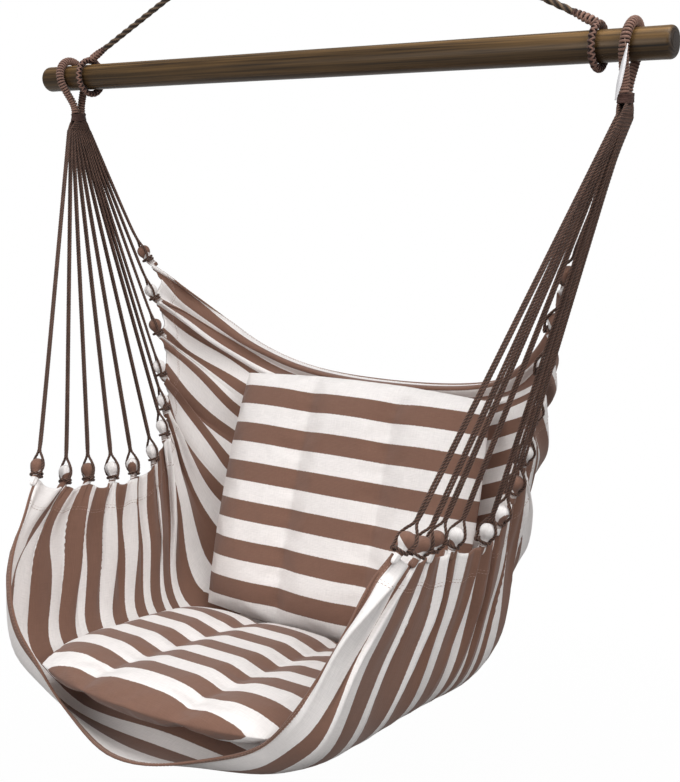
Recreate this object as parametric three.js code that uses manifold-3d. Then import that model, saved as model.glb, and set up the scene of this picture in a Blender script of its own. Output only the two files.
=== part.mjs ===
import * as THREE from 'three';
import { mergeVertices } from 'three/addons/utils/BufferGeometryUtils.js';
import Module from 'manifold-3d';

// Hanging hammock chair. Millimetres, +Z up, -Y is the open front, X runs along the bar.
// The origin is the point inside the rope eye that bears on a hook.

// Driving sizes
const barLength = 1012;
const barDiameter = 38;
const barEndRounding = 7;
const barSides = 32;
const eyeToBar = 296;
const eyeToApex = 54;
const gap = 0.4;

const ropeDiameter = 9;
const ropeSides = 8;
const strandSpread = 5.4;
const eyeHalfWidth = 17;
const whippingHeight = 18;
const whippingWall = 3;

const slingFromEnd = 92;
const slingEyeX = barLength / 2 - slingFromEnd;
const slingTube = 11;
const fanFromEnd = 49;
const fanEyeX = barLength / 2 - fanFromEnd;
const fanTube = 12.5;
const fanSides = 10;
const neckFromFan = 9;
const neckX = fanEyeX - neckFromFan;
const neckY = 4;
const neckDrop = 50;
const collarHeight = 28;

const cordDiameter = 3.2;
const cordSides = 5;
const cordPitch = 3.9;
const wrapPitch = 4.2;
const wrapTurns = 1.5;
const wrapSteps = 12;
const tuftNeckRadius = 5.2;
const tuftBallRadius = 10;
const tuftSides = 5;
const ballOffset = 13.8;
const splitEase = 11;
const splitTopShare = 0.64;
const pairRise = 21;
const pairGuideRise = 52;
const apexRise = 9;

const clothThickness = 2;
const halfSpan = 372;
const clothReach = 418;
const clothDrop = 890;
const scallopDip = 12;
const scallopAway = 27;
const scallopLow = 7;
const panelSink = 16;
const cushionWidth = 460;
const seatDepth = 390;
const backDepth = 400;
const seatThickness = 56;
const backThickness = 76;
const seatFrontCornerShare = 0.36;
const cushionCornerShare = 0.09;
const seamPinchShare = 0.42;
const seamHalfWidth = 15;
const seatTiltDegrees = 7.6;
const seatY = -207;
const seatZ = -806.4;
const backReclineDegrees = 18.3;
const backY = 81.9;
const backZ = -653;

const tagWidth = 10;
const tagHeight = 62;
const tagThickness = 0.8;
const tagFromFan = 5;
const tagX = fanEyeX - tagFromFan;
const tagTop = -2;

const barZ = -eyeToBar;
const barRadius = barDiameter / 2;
const ropeRadius = ropeDiameter / 2;
const cordRadius = cordDiameter / 2;
const v = (x, y, z) => new THREE.Vector3(x, y, z);

const group = new THREE.Group();
group.name = 'hammock_chair';

const wasm = await Module();
wasm.setup();

// Shared helpers: closed solids from meshes, tubes, rings and boolean joins
function weld(geometry) {
  const plain = geometry.index ? geometry.toNonIndexed() : geometry.clone();
  plain.deleteAttribute('normal');
  plain.deleteAttribute('uv');
  return facedOut(mergeVertices(plain, 1e-4));
}

// Turns a closed mesh the right way out when its triangles enclose a negative volume
function facedOut(g) {
  const p = g.attributes.position;
  const idx = g.index.array;
  const corner = (i) => v(p.getX(i), p.getY(i), p.getZ(i));
  let volume = 0;
  for (let i = 0; i < idx.length; i += 3) {
    volume += corner(idx[i]).dot(corner(idx[i + 1]).cross(corner(idx[i + 2])));
  }
  if (volume < 0) {
    for (let i = 0; i < idx.length; i += 3) {
      [idx[i], idx[i + 1]] = [idx[i + 1], idx[i]];
    }
  }
  return g;
}

function toSolid(geometry) {
  const g = weld(geometry);
  return new wasm.Manifold(new wasm.Mesh({
    numProp: 3,
    vertProperties: new Float32Array(g.attributes.position.array),
    triVerts: new Uint32Array(g.index.array),
  }));
}

function fromSolid(solid) {
  const mesh = solid.getMesh();
  const g = new THREE.BufferGeometry();
  g.setAttribute('position', new THREE.BufferAttribute(new Float32Array(mesh.vertProperties), 3));
  g.setIndex(new THREE.BufferAttribute(new Uint32Array(mesh.triVerts), 1));
  return g;
}

function place(name, geometry, colour, roughness) {
  const g = weld(geometry);
  g.computeVertexNormals();
  const material = new THREE.MeshStandardMaterial({ color: colour, roughness, metalness: 0 });
  material.name = name;
  const mesh = new THREE.Mesh(g, material);
  mesh.name = name;
  group.add(mesh);
  return mesh;
}

// A route that keeps the spacing of its own points, so bends get more steps than straights
class RouteCurve extends THREE.CatmullRomCurve3 {
  getPointAt(u, target) {
    return this.getPoint(u, target);
  }

  getTangentAt(u, target) {
    return this.getTangent(u, target);
  }
}

function polygon(radius, sides) {
  const shape = new THREE.Shape();
  for (let i = 0; i < sides; i += 1) {
    const t = (i / sides) * Math.PI * 2;
    const x = radius * Math.cos(t);
    const y = radius * Math.sin(t);
    if (i === 0) shape.moveTo(x, y);
    else shape.lineTo(x, y);
  }
  shape.closePath();
  return shape;
}

function tube(points, radius, sides, stepsPerPoint) {
  const curve = new RouteCurve(points, false, 'catmullrom', 0.5);
  const steps = (points.length - 1) * stepsPerPoint;
  return new THREE.ExtrudeGeometry(polygon(radius, sides), { steps, extrudePath: curve });
}

// Closed body through a stack of rings of equal count, fanned shut at both ends
function loft(rings) {
  const n = rings[0].length;
  const pos = [];
  const idx = [];
  rings.forEach((ring) => ring.forEach((p) => pos.push(p.x, p.y, p.z)));
  for (let r = 0; r + 1 < rings.length; r += 1) {
    for (let i = 0; i < n; i += 1) {
      const j = (i + 1) % n;
      const a = r * n + i;
      const b = r * n + j;
      idx.push(a, b, b + n, a, b + n, a + n);
    }
  }
  for (let i = 1; i + 1 < n; i += 1) {
    idx.push(0, i + 1, i);
    const top = (rings.length - 1) * n;
    idx.push(top, top + i, top + i + 1);
  }
  const g = new THREE.BufferGeometry();
  g.setAttribute('position', new THREE.BufferAttribute(new Float32Array(pos), 3));
  g.setIndex(idx);
  return g;
}

// Spreader bar: turned dowel with rounded ends
const roundCos = Math.cos(Math.PI / 4);
const roundStart = barRadius - barEndRounding;
const barHalf = barLength / 2;
const barSlope = barEndRounding * (1 - roundCos);
const barProfile = [
  new THREE.Vector2(0, -barHalf),
  new THREE.Vector2(roundStart, -barHalf),
  new THREE.Vector2(barRadius - barSlope, -barHalf + barSlope),
  new THREE.Vector2(barRadius, -barHalf + barEndRounding),
  new THREE.Vector2(barRadius, barHalf - barEndRounding),
  new THREE.Vector2(barRadius - barSlope, barHalf - barSlope),
  new THREE.Vector2(roundStart, barHalf),
  new THREE.Vector2(0, barHalf),
];
const barGeometry = new THREE.LatheGeometry(barProfile, barSides);
barGeometry.rotateZ(-Math.PI / 2);
barGeometry.translate(0, 0, barZ);
place('spreader_bar', barGeometry, 0x54482f, 0.55);

// Sling eyes: served rings round the bar, each with a splice swelling into its rope leg
const slingTubeRadius = slingTube / 2;
const slingMajor = barRadius + slingTubeRadius + 0.7;
const apexX = strandSpread;
const apexZ = -eyeToApex - whippingHeight / 2 - apexRise;
const spliceLength = 36;
const spliceRadius = 7;
const legStart = v(slingEyeX, 0, barZ + slingMajor);
const legDir = v(apexX, 0, apexZ).sub(legStart).normalize();
const spliceShares = [
  [0, 0.62],
  [0.3, 0.96],
  [0.6, 1],
  [0.85, 0.86],
  [1, 0.7],
];
const spliceSides = 10;

function ringAt(centre, axisA, axisB, radiusA, radiusB, count) {
  const ring = [];
  for (let i = 0; i < count; i += 1) {
    const t = (i / count) * Math.PI * 2;
    ring.push(centre.clone()
      .addScaledVector(axisA, radiusA * Math.cos(t))
      .addScaledVector(axisB, radiusB * Math.sin(t)));
  }
  return ring;
}

function slingEye(side) {
  const ring = new THREE.TorusGeometry(slingMajor, slingTubeRadius, 8, 28);
  ring.rotateY(Math.PI / 2);
  ring.translate(side * slingEyeX, 0, barZ);
  const dir = v(side * legDir.x, 0, legDir.z);
  const across = v(0, 1, 0);
  const up = dir.clone().cross(across).normalize();
  const rings = spliceShares.map(([along, wide]) => ringAt(
    v(side * slingEyeX, 0, barZ + slingMajor).addScaledVector(dir, along * spliceLength),
    across, up.clone().negate(), wide * spliceRadius, wide * spliceRadius, spliceSides,
  ));
  return fromSolid(toSolid(ring).add(toSolid(loft(rings))));
}
place('left_sling_eye', slingEye(-1), 0x5b4634, 0.9);
place('right_sling_eye', slingEye(1), 0x5b4634, 0.9);

// Suspension rope: one length, up one leg, round the hanging eye and down the other leg
const legFoot = legStart.clone().addScaledVector(legDir, spliceLength + gap);
const eyeShares = [
  [0.32, 1],
  [0.34, 0.72],
  [0.62, 0.46],
  [1, 0.2],
  [0.98, 0],
  [0.72, -0.08],
];
const halfRope = [
  legFoot,
  legFoot.clone().lerp(v(apexX, 0, apexZ), 0.5),
  v(apexX, 0, apexZ).addScaledVector(legDir, -34),
  v(apexX, 0, apexZ).addScaledVector(legDir, -11),
  v(apexX, 0, apexZ + 3.6),
];
eyeShares.forEach(([wide, low]) => {
  halfRope.push(v(wide * eyeHalfWidth, 0, -low * eyeToApex));
});
const ropePoints = [
  ...halfRope,
  v(0, 0, ropeRadius + 2.5),
  ...halfRope.map((p) => v(-p.x, 0, p.z)).reverse(),
];
place('suspension_rope', tube(ropePoints, ropeRadius, ropeSides, 2), 0x6a5340, 0.9);

// Apex whipping: an oval sleeve round the two strands below the eye
const sleeve = new THREE.Shape();
const sleeveHoleX = strandSpread + ropeRadius + 2.1;
const sleeveHoleY = ropeRadius + 1.3;
sleeve.absellipse(0, 0, sleeveHoleX + whippingWall, sleeveHoleY + whippingWall, 0, Math.PI * 2);
const sleeveHole = new THREE.Path();
sleeveHole.absellipse(0, 0, sleeveHoleX, sleeveHoleY, 0, Math.PI * 2);
sleeve.holes.push(sleeveHole);
const sleeveGeometry = new THREE.ExtrudeGeometry(sleeve, {
  depth: whippingHeight,
  bevelEnabled: false,
  curveSegments: 10,
});
sleeveGeometry.translate(0, 0, -eyeToApex - whippingHeight / 2);
place('apex_whipping', sleeveGeometry, 0x4b392b, 0.95);

// Fan eyes: served loops hung over the bar, closing to a neck under it
const fanTubeRadius = fanTube / 2;
const fanMajor = barRadius + fanTubeRadius + 0.75;
const fanArcSteps = 13;
const fanArc = Math.PI * 1.28;
const neckHalf = fanTubeRadius + gap;
const neckZ = barZ - neckDrop;

function fanEye(side) {
  const points = [];
  const lean = (z) => side * THREE.MathUtils.lerp(neckX, fanEyeX, (z - neckZ) / (neckDrop + fanMajor));
  points.push(v(side * neckX, neckY - neckHalf, neckZ));
  points.push(v(lean(neckZ + 7), neckY - neckHalf - 1, neckZ + 7));
  for (let i = 0; i <= fanArcSteps; i += 1) {
    const t = Math.PI / 2 + fanArc / 2 - (fanArc * i) / fanArcSteps;
    const z = barZ + fanMajor * Math.sin(t);
    points.push(v(lean(z), fanMajor * Math.cos(t), z));
  }
  points.push(v(lean(neckZ + 7), neckY + neckHalf + 1, neckZ + 7));
  points.push(v(side * neckX, neckY + neckHalf, neckZ));
  return tube(points, fanTubeRadius, fanSides, 1);
}
place('left_fan_eye', fanEye(-1), 0x6a5340, 0.95);
place('right_fan_eye', fanEye(1), 0x6a5340, 0.95);

// Neck collars: whipped sleeves that spread the cords into a fan
const cordCount = 12;
const fanWidth = (cordCount - 1) * cordPitch;
const collarTop = neckZ - gap - 1;
const collarBottom = collarTop - collarHeight;
const collarShares = [
  [0, 0.8, 0.52],
  [0.25, 1, 0.56],
  [0.55, 0.96, 0.62],
  [1, 0.62, 1],
];
const collarHalfX = 10.5;
const collarHalfY = fanWidth / 2 + cordDiameter;
const collarSides = 16;

function neckCollar(side) {
  const rings = collarShares.map(([down, wideX, wideY]) => ringAt(
    v(side * neckX, neckY, collarTop - down * collarHeight),
    v(0, 1, 0), v(1, 0, 0), wideY * collarHalfY, wideX * collarHalfX, collarSides,
  ));
  return loft(rings);
}
place('left_neck_collar', neckCollar(-1), 0x4b392b, 0.95);
place('right_neck_collar', neckCollar(1), 0x4b392b, 0.95);

// Tie points of the cords, front to back, in shares of the span, the reach and the drop
const tieShares = [
  [0.806, -0.603, 0.638],
  [0.793, -0.486, 0.661],
  [0.782, -0.385, 0.667],
  [0.785, -0.261, 0.678],
  [0.823, -0.115, 0.688],
  [0.82, -0.005, 0.674],
  [0.833, 0.072, 0.635],
  [0.852, 0.098, 0.59],
  [0.876, 0.108, 0.528],
  [0.903, 0.122, 0.453],
  [0.93, 0.134, 0.39],
  [0.968, 0.139, 0.32],
];
const fromShares = ([sx, sy, sz]) => v(sx * halfSpan, sy * clothReach, barZ - sz * clothDrop);
const ties = tieShares.map(fromShares);
const neckPoint = v(neckX, neckY, collarBottom);

// Each tie has its own frame: up the cord, out of the fan, and along the fan
const tieFrames = ties.map((tie, k) => {
  const up = neckPoint.clone().sub(tie).normalize();
  const before = ties[Math.max(k - 1, 0)];
  const after = ties[Math.min(k + 1, cordCount - 1)];
  const along = after.clone().sub(before);
  along.addScaledVector(up, -along.dot(up)).normalize();
  const out = along.clone().cross(up).normalize();
  return { tie, up, along, out };
});

const wrapRadius = (tuftNeckRadius + cordRadius + gap) / Math.cos(Math.PI / 8) + 0.1;
const passRadius = wrapRadius + cordDiameter + gap + 0.2;
const splitRadius = tuftBallRadius + cordRadius + gap + 0.4;
const pairHalf = cordRadius + gap;

function cordRoute(k) {
  const { tie, up, along, out } = tieFrames[k];
  const at = (o, a, u) => tie.clone()
    .addScaledVector(out, o)
    .addScaledVector(along, a)
    .addScaledVector(up, u);
  const slotY = neckY + (k - (cordCount - 1) / 2) * cordPitch;
  const slot = (s) => v(neckX + s * pairHalf, slotY, collarBottom - gap - 0.9);
  const sign = out.x >= 0 ? 1 : -1;
  const points = [slot(sign)];
  points.push(at(pairHalf, 0, pairGuideRise));
  points.push(at(pairHalf, 0, ballOffset + pairRise));
  points.push(at(splitRadius * splitTopShare, 0, ballOffset + splitEase));
  points.push(at(splitRadius, 0, ballOffset + 1));
  points.push(at(splitRadius * 0.86, 0, ballOffset - 7));
  for (let i = 0; i <= wrapSteps; i += 1) {
    const share = i / wrapSteps;
    const turn = share * wrapTurns * Math.PI * 2;
    const rise = (0.5 - share) * wrapTurns * wrapPitch;
    points.push(at(wrapRadius * Math.cos(turn), wrapRadius * Math.sin(turn), rise));
  }
  const low = -0.5 * wrapTurns * wrapPitch;
  points.push(at(-passRadius * 0.93, -passRadius * 0.36, low + 0.6));
  points.push(at(-passRadius, -passRadius * 0.12, low + 6));
  points.push(at(-splitRadius, 0, ballOffset + 1));
  points.push(at(-splitRadius * splitTopShare, 0, ballOffset + splitEase));
  points.push(at(-pairHalf, 0, ballOffset + pairRise));
  points.push(at(-pairHalf, 0, pairGuideRise));
  points.push(slot(-sign));
  return points;
}

const twoDigits = (n) => String(n).padStart(2, '0');
const routes = ties.map((tie, k) => cordRoute(k));
const mirrored = (points) => points.map((p) => v(-p.x, p.y, p.z));
routes.forEach((route, k) => {
  place(`right_cord_${twoDigits(k + 1)}`, tube(route, cordRadius, cordSides, 1), 0x5c3a2b, 0.9);
});
routes.forEach((route, k) => {
  const g = tube(mirrored(route), cordRadius, cordSides, 1);
  place(`left_cord_${twoDigits(k + 1)}`, g, 0x5c3a2b, 0.9);
});

// Least gap of each cord to itself and to its neighbours, measured on its centre line
function closest(p, a, b) {
  const ab = b.clone().sub(a);
  const t = THREE.MathUtils.clamp(p.clone().sub(a).dot(ab) / ab.lengthSq(), 0, 1);
  return a.clone().addScaledVector(ab, t).distanceTo(p);
}

function sampled(points) {
  const list = [];
  for (let i = 0; i + 1 < points.length; i += 1) {
    const parts = Math.max(1, Math.ceil(points[i].distanceTo(points[i + 1]) / 6));
    for (let j = 0; j < parts; j += 1) list.push(points[i].clone().lerp(points[i + 1], j / parts));
  }
  list.push(points[points.length - 1].clone());
  return list;
}

const fine = routes.map(sampled);
let leastSelf = Infinity;
fine.forEach((list) => {
  const run = [0];
  for (let i = 1; i < list.length; i += 1) run.push(run[i - 1] + list[i].distanceTo(list[i - 1]));
  for (let i = 0; i < list.length; i += 1) {
    for (let j = i + 2; j + 1 < list.length; j += 1) {
      if (run[j] - run[i] > cordDiameter * 4) {
        leastSelf = Math.min(leastSelf, closest(list[i], list[j], list[j + 1]) - cordDiameter);
      }
    }
  }
});
let leastPair = Infinity;
let leastNames = '';
for (let a = 0; a < cordCount; a += 1) {
  for (let b = a + 1; b < cordCount; b += 1) {
    for (let i = 0; i < fine[a].length; i += 1) {
      for (let j = 0; j + 1 < fine[b].length; j += 1) {
        const d = closest(fine[a][i], fine[b][j], fine[b][j + 1]) - cordDiameter;
        if (d < leastPair) {
          leastPair = d;
          leastNames = `${a + 1} and ${b + 1}`;
        }
      }
    }
  }
}
console.log(`least gap of a cord to itself ${leastSelf.toFixed(2)} mm`);
console.log(`least gap between cords ${leastPair.toFixed(2)} mm (${leastNames})`);

// Hammock sheet: curves from the centre line out to the tied edge, one row per tie,
// in shares of the half span, the reach (front is negative) and the drop below the bar
const sheetShares = [
  [[0, -1, 0.94], [0.5, -0.872, 0.884], [0.602, -0.878, 0.835], [0.728, -0.775, 0.728]],
  [[0, -0.837, 0.9607], [0.53, -0.825, 0.933], [0.677, -0.825, 0.893], [0.774, -0.724, 0.764]],
  [[0, -0.627, 0.935], [0.551, -0.627, 0.9494], [0.69, -0.617, 0.91], [0.764, -0.515, 0.786]],
  [[0, -0.411, 0.9454], [0.551, -0.411, 0.958], [0.694, -0.395, 0.919], [0.769, -0.323, 0.793]],
  [[0, -0.191, 0.959], [0.551, -0.191, 0.9685], [0.7, -0.179, 0.93], [0.789, -0.14, 0.806]],
  [[0, 0.004, 0.988], [0.551, 0.01, 0.978], [0.706, 0.026, 0.938], [0.793, 0.009, 0.803]],
  [[0, 0.165, 0.942], [0.551, 0.168, 0.927], [0.715, 0.184, 0.888], [0.806, 0.128, 0.748]],
  [[0, 0.221, 0.84], [0.551, 0.236, 0.831], [0.72, 0.262, 0.798], [0.825, 0.181, 0.692]],
  [[0, 0.288, 0.746], [0.557, 0.31, 0.736], [0.734, 0.324, 0.702], [0.843, 0.226, 0.611]],
  [[0, 0.354, 0.652], [0.568, 0.38, 0.635], [0.753, 0.378, 0.596], [0.869, 0.253, 0.516]],
  [[0, 0.426, 0.564], [0.578, 0.44, 0.542], [0.766, 0.39, 0.5], [0.899, 0.251, 0.436]],
  [[0, 0.488, 0.524], [0.591, 0.49, 0.492], [0.766, 0.366, 0.431], [0.917, 0.215, 0.354]],
];
const columns = 4;
const rowsPerTie = 2;
const edgeDrop = 9.6;

function rowPoint(table, column, t) {
  const i = Math.min(Math.floor(t), table.length - 2);
  const pick = (r) => table[THREE.MathUtils.clamp(r, 0, table.length - 1)][column];
  const w = t - i;
  const [p0, p1, p2, p3] = [pick(i - 1), pick(i), pick(i + 1), pick(i + 2)];
  const mix = (a, b, c, d) => 0.5 * (2 * b + (c - a) * w + (2 * a - 5 * b + 4 * c - d) * w * w
    + (3 * b - a - 3 * c + d) * w * w * w);
  return fromShares([0, 1, 2].map((n) => mix(p0[n], p1[n], p2[n], p3[n])));
}

const rowCount = (cordCount - 1) * rowsPerTie + 1;
const half = [];
for (let r = 0; r < rowCount; r += 1) {
  const t = r / rowsPerTie;
  const row = [];
  for (let c = 0; c < columns; c += 1) row.push(rowPoint(sheetShares, c, t));
  const tieHere = ties[Math.floor(t)];
  const tieNext = ties[Math.min(Math.floor(t) + 1, cordCount - 1)];
  row.push(tieHere.clone().lerp(tieNext, t % 1));
  const k = Math.min(Math.floor(t), cordCount - 1);
  const { up } = tieFrames[k];
  if (r % rowsPerTie === 0) {
    row[columns].addScaledVector(up, -edgeDrop);
  } else {
    const rail = ties[k + 1].clone().sub(ties[k]).normalize();
    const steep = rail.dot(up) ** 2;
    const away = row[columns - 2].clone().sub(row[columns]);
    away.addScaledVector(up, -away.dot(up)).normalize();
    const beside = ties[k].clone().addScaledVector(up, -scallopLow);
    beside.addScaledVector(away, scallopAway);
    row[columns].addScaledVector(up, -edgeDrop - scallopDip).lerp(beside, steep);
    row[columns - 1].addScaledVector(up, -steep * panelSink);
  }
  half.push(row);
}
const grid = half.map((row) => [
  ...row.slice(1).reverse().map((p) => v(-p.x, p.y, p.z)),
  ...row,
]);

function shell(rows, thickness) {
  const m = rows.length;
  const n = rows[0].length;
  const at = (i, j) => rows[THREE.MathUtils.clamp(i, 0, m - 1)][THREE.MathUtils.clamp(j, 0, n - 1)];
  const pos = [];
  const top = [];
  const low = [];
  for (let i = 0; i < m; i += 1) {
    for (let j = 0; j < n; j += 1) {
      const du = at(i, j + 1).clone().sub(at(i, j - 1));
      const dv = at(i + 1, j).clone().sub(at(i - 1, j));
      const normal = du.cross(dv).normalize().multiplyScalar(thickness / 2);
      top.push(at(i, j).clone().add(normal));
      low.push(at(i, j).clone().sub(normal));
    }
  }
  [...top, ...low].forEach((p) => pos.push(p.x, p.y, p.z));
  const idx = [];
  const off = m * n;
  const quad = (a, b, c, d) => idx.push(a, b, c, a, c, d);
  for (let i = 0; i + 1 < m; i += 1) {
    for (let j = 0; j + 1 < n; j += 1) {
      const a = i * n + j;
      quad(a, a + 1, a + n + 1, a + n);
      quad(off + a, off + a + n, off + a + n + 1, off + a + 1);
    }
  }
  for (let j = 0; j + 1 < n; j += 1) {
    const b = (m - 1) * n + j;
    quad(j + 1, j, off + j, off + j + 1);
    quad(b, b + 1, off + b + 1, off + b);
  }
  for (let i = 0; i + 1 < m; i += 1) {
    const a = i * n;
    const b = i * n + n - 1;
    quad(a, a + n, off + a + n, off + a);
    quad(b + n, b, off + b, off + b + n);
  }
  const g = new THREE.BufferGeometry();
  g.setAttribute('position', new THREE.BufferAttribute(new Float32Array(pos), 3));
  g.setIndex(idx);
  return g;
}

// Gathered tufts: a bunch of cloth drawn in to a neck with a round head above the tie
const tuftShares = [
  [-1.15, 0.45],
  [0.45, 0.54],
  [1.4, 1],
  [2.25, 0.45],
];
let sheetSolid = toSolid(shell(grid, clothThickness));
const tuft = (side, k) => {
  const { tie, up, along, out } = tieFrames[k];
  const flip = (p) => v(side * p.x, p.y, p.z);
  const rings = tuftShares.map(([rise, wide]) => ringAt(
    flip(tie.clone().addScaledVector(up, rise * tuftBallRadius)),
    flip(side > 0 ? out : along), flip(side > 0 ? along : out),
    wide * tuftBallRadius, wide * tuftBallRadius, tuftSides,
  ));
  return toSolid(loft(rings));
};
const bodies = [];
for (let k = 0; k < cordCount; k += 1) {
  bodies.push(tuft(1, k), tuft(-1, k));
}
bodies.forEach((body) => {
  sheetSolid = sheetSolid.add(body);
});
place('hammock_sheet', fromSolid(sheetSolid), 0xb39b88, 0.95);

// Cushions: crowned pads pinched along two seams, edges drawn to a thin line
const cushionCellsX = 18;
const cushionCellsY = 8;

function cushion(width, depth, thick, tiltDegrees, y, z, lowCorner, highCorner) {
  const rows = [];
  for (let j = 0; j <= cushionCellsY; j += 1) {
    const row = [];
    for (let i = 0; i <= cushionCellsX; i += 1) {
      const a = Math.sin((Math.PI / 2) * ((2 * i) / cushionCellsX - 1) * 0.9) / Math.sin(Math.PI * 0.45);
      const b = Math.sin((Math.PI / 2) * ((2 * j) / cushionCellsY - 1) * 0.9) / Math.sin(Math.PI * 0.45);
      const corner = b < 0 ? lowCorner : highCorner;
      const x = (width / 2) * a * Math.sqrt(1 - b * b * corner);
      const w = (depth / 2) * b * Math.sqrt(1 - a * a * corner);
      const crown = Math.sqrt(Math.max(0, 1 - a ** 4)) * Math.sqrt(Math.max(0, 1 - b ** 4));
      const seam = Math.abs(Math.abs(x) - width / 6) / seamHalfWidth;
      const pinch = 1 - seamPinchShare * Math.exp(-seam * seam);
      row.push([x, w, (thick / 2) * crown * pinch]);
    }
    rows.push(row);
  }
  const m = rows.length;
  const n = rows[0].length;
  const pos = [];
  rows.forEach((row) => row.forEach(([x, w, h]) => pos.push(x, w, h)));
  rows.forEach((row) => row.forEach(([x, w, h]) => pos.push(x, w, -h)));
  const idx = [];
  const off = m * n;
  for (let i = 0; i + 1 < m; i += 1) {
    for (let j = 0; j + 1 < n; j += 1) {
      const a = i * n + j;
      idx.push(a, a + 1, a + n + 1, a, a + n + 1, a + n);
      idx.push(off + a, off + a + n + 1, off + a + 1, off + a, off + a + n, off + a + n + 1);
    }
  }
  const g = new THREE.BufferGeometry();
  g.setAttribute('position', new THREE.BufferAttribute(new Float32Array(pos), 3));
  g.setIndex(idx);
  g.rotateX(THREE.MathUtils.degToRad(tiltDegrees));
  g.translate(0, y, barZ + z);
  return g;
}
const seatGeometry = cushion(
  cushionWidth, seatDepth, seatThickness, -seatTiltDegrees, seatY, seatZ,
  seatFrontCornerShare, cushionCornerShare,
);
place('seat_cushion', seatGeometry, 0xc9b8aa, 0.95);
const backGeometry = cushion(
  cushionWidth, backDepth, backThickness, 90 - backReclineDegrees, backY, backZ,
  cushionCornerShare, cushionCornerShare,
);
place('back_cushion', backGeometry, 0xc9b8aa, 0.95);

// Care tag: a blank ribbon hinged at its sewn top edge on the right fan eye
const tagGeometry = new THREE.BoxGeometry(tagWidth, tagThickness, tagHeight);
const tagY = -fanMajor - fanTubeRadius - tagThickness / 2;
tagGeometry.translate(tagX, tagY, barZ + tagTop - tagHeight / 2);
place('care_tag', tagGeometry, 0xf2f1ee, 0.85);

export default group;
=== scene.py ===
# %% [markdown]
# # A hanging hammock chair
# The chair is a striped cotton cloth, gathered along both sides and tied by two fans of doubled
# cords to a wooden bar, which hangs from one rope. Two striped cushions lie in it.
# This notebook builds it from the rope down. First come the tools, the camera and the cords,
# because a cord's route decides where the cloth can hang.

# %% Open the frame
import math

import bpy
import numpy as np
from mathutils import Matrix, Vector


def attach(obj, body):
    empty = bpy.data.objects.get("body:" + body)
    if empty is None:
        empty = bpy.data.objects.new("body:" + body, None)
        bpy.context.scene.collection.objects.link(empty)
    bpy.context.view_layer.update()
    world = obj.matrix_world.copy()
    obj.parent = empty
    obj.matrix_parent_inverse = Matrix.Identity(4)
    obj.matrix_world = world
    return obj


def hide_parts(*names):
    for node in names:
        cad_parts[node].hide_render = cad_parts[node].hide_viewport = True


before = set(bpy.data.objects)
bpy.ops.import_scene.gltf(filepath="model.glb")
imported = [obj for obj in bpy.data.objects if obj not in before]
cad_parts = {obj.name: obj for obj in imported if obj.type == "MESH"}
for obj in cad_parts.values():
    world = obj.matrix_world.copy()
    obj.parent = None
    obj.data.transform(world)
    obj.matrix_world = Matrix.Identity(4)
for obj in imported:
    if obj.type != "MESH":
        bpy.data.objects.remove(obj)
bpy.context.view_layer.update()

# %% Sizes that every later cell uses, in metres
MM = 0.001
EYE_TO_BAR = 0.296
BAR_Z = -EYE_TO_BAR
BAR_RADIUS, BAR_HALF = 0.019, 0.506
CORD_DIAMETER = 0.0032
NECK_X, NECK_Y = 0.448, 0.004
COLLAR_TOP = BAR_Z - 0.0514
COLLAR_BOTTOM = COLLAR_TOP - 0.028
GAP = 0.0004
SIDES = ((-1, "left"), (1, "right"))

# %% [markdown]
# ## The camera
# The photograph looks down on the chair from its front left, about 11 degrees below level.
# A camera could be placed by eye, but a picture with straight stripes and a straight bar gives
# enough lines to solve it. The solved place and turn are written here as they came out, and the
# lens follows from the sensor's height and the picture's 782 rows.

# %% Camera at the photograph's angle
AZIMUTH, DOWN = math.radians(33.0866), math.radians(11.0903)
FOCAL_ROWS, PICTURE_ROWS = 1130.22, 782
look = Vector((-math.sin(AZIMUTH) * math.cos(DOWN), math.cos(AZIMUTH) * math.cos(DOWN), -math.sin(DOWN)))
camera_data = bpy.data.cameras.new("photo_camera")
camera = bpy.data.objects.new("photo_camera", camera_data)
bpy.context.scene.collection.objects.link(camera)
camera.location = (0.9122, -1.3203, -0.4376)
camera.rotation_euler = look.to_track_quat("-Z", "Y").to_euler()
camera_data.sensor_fit = "VERTICAL"
camera_data.lens = FOCAL_ROWS / PICTURE_ROWS * camera_data.sensor_height
camera_data.clip_end = 60
bpy.context.scene.camera = camera
print("lens", round(camera_data.lens, 2), "mm on a sensor", camera_data.sensor_height, "mm high")

# %% [markdown]
# ## Small tools
# Shaders work in linear light and colours are chosen on a screen, so one function turns the hex
# value of a colour to linear. One more adds a node, sets it and links it, and a few short ones
# over it make the nodes that every material here uses. The last ones make a plain mesh object
# from arrays and store how deep each of its points lies.

# %% Colour, node and mesh tools
def linear(hex_colour):
    """The linear red, green, blue and alpha of an sRGB hex colour."""
    parts = [int(hex_colour[i:i + 2], 16) / 255 for i in (1, 3, 5)]
    return (*[c / 12.92 if c <= 0.04045 else ((c + 0.055) / 1.055) ** 2.4 for c in parts], 1.0)


def add(tree, kind, links=None, **settings):
    """Adds one node. links maps an input to a value or to the output that feeds it."""
    node = tree.nodes.new(kind)
    for key, value in settings.items():
        setattr(node, key, value)
    for key, value in (links or {}).items():
        if isinstance(value, bpy.types.NodeSocket):
            tree.links.new(value, node.inputs[key])
        else:
            node.inputs[key].default_value = value
    return node


def start_material(name):
    """A material with an empty tree, its tree, and the place on the object as an output."""
    material = bpy.data.materials.new(name)
    material.use_nodes = True
    tree = material.node_tree
    tree.nodes.clear()
    return material, tree, add(tree, "ShaderNodeTexCoord").outputs["Object"]


def calc(tree, operation, first, second=0.0, clamp=False):
    return add(tree, "ShaderNodeMath", {0: first, 1: second}, operation=operation, use_clamp=clamp).outputs[0]


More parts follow.
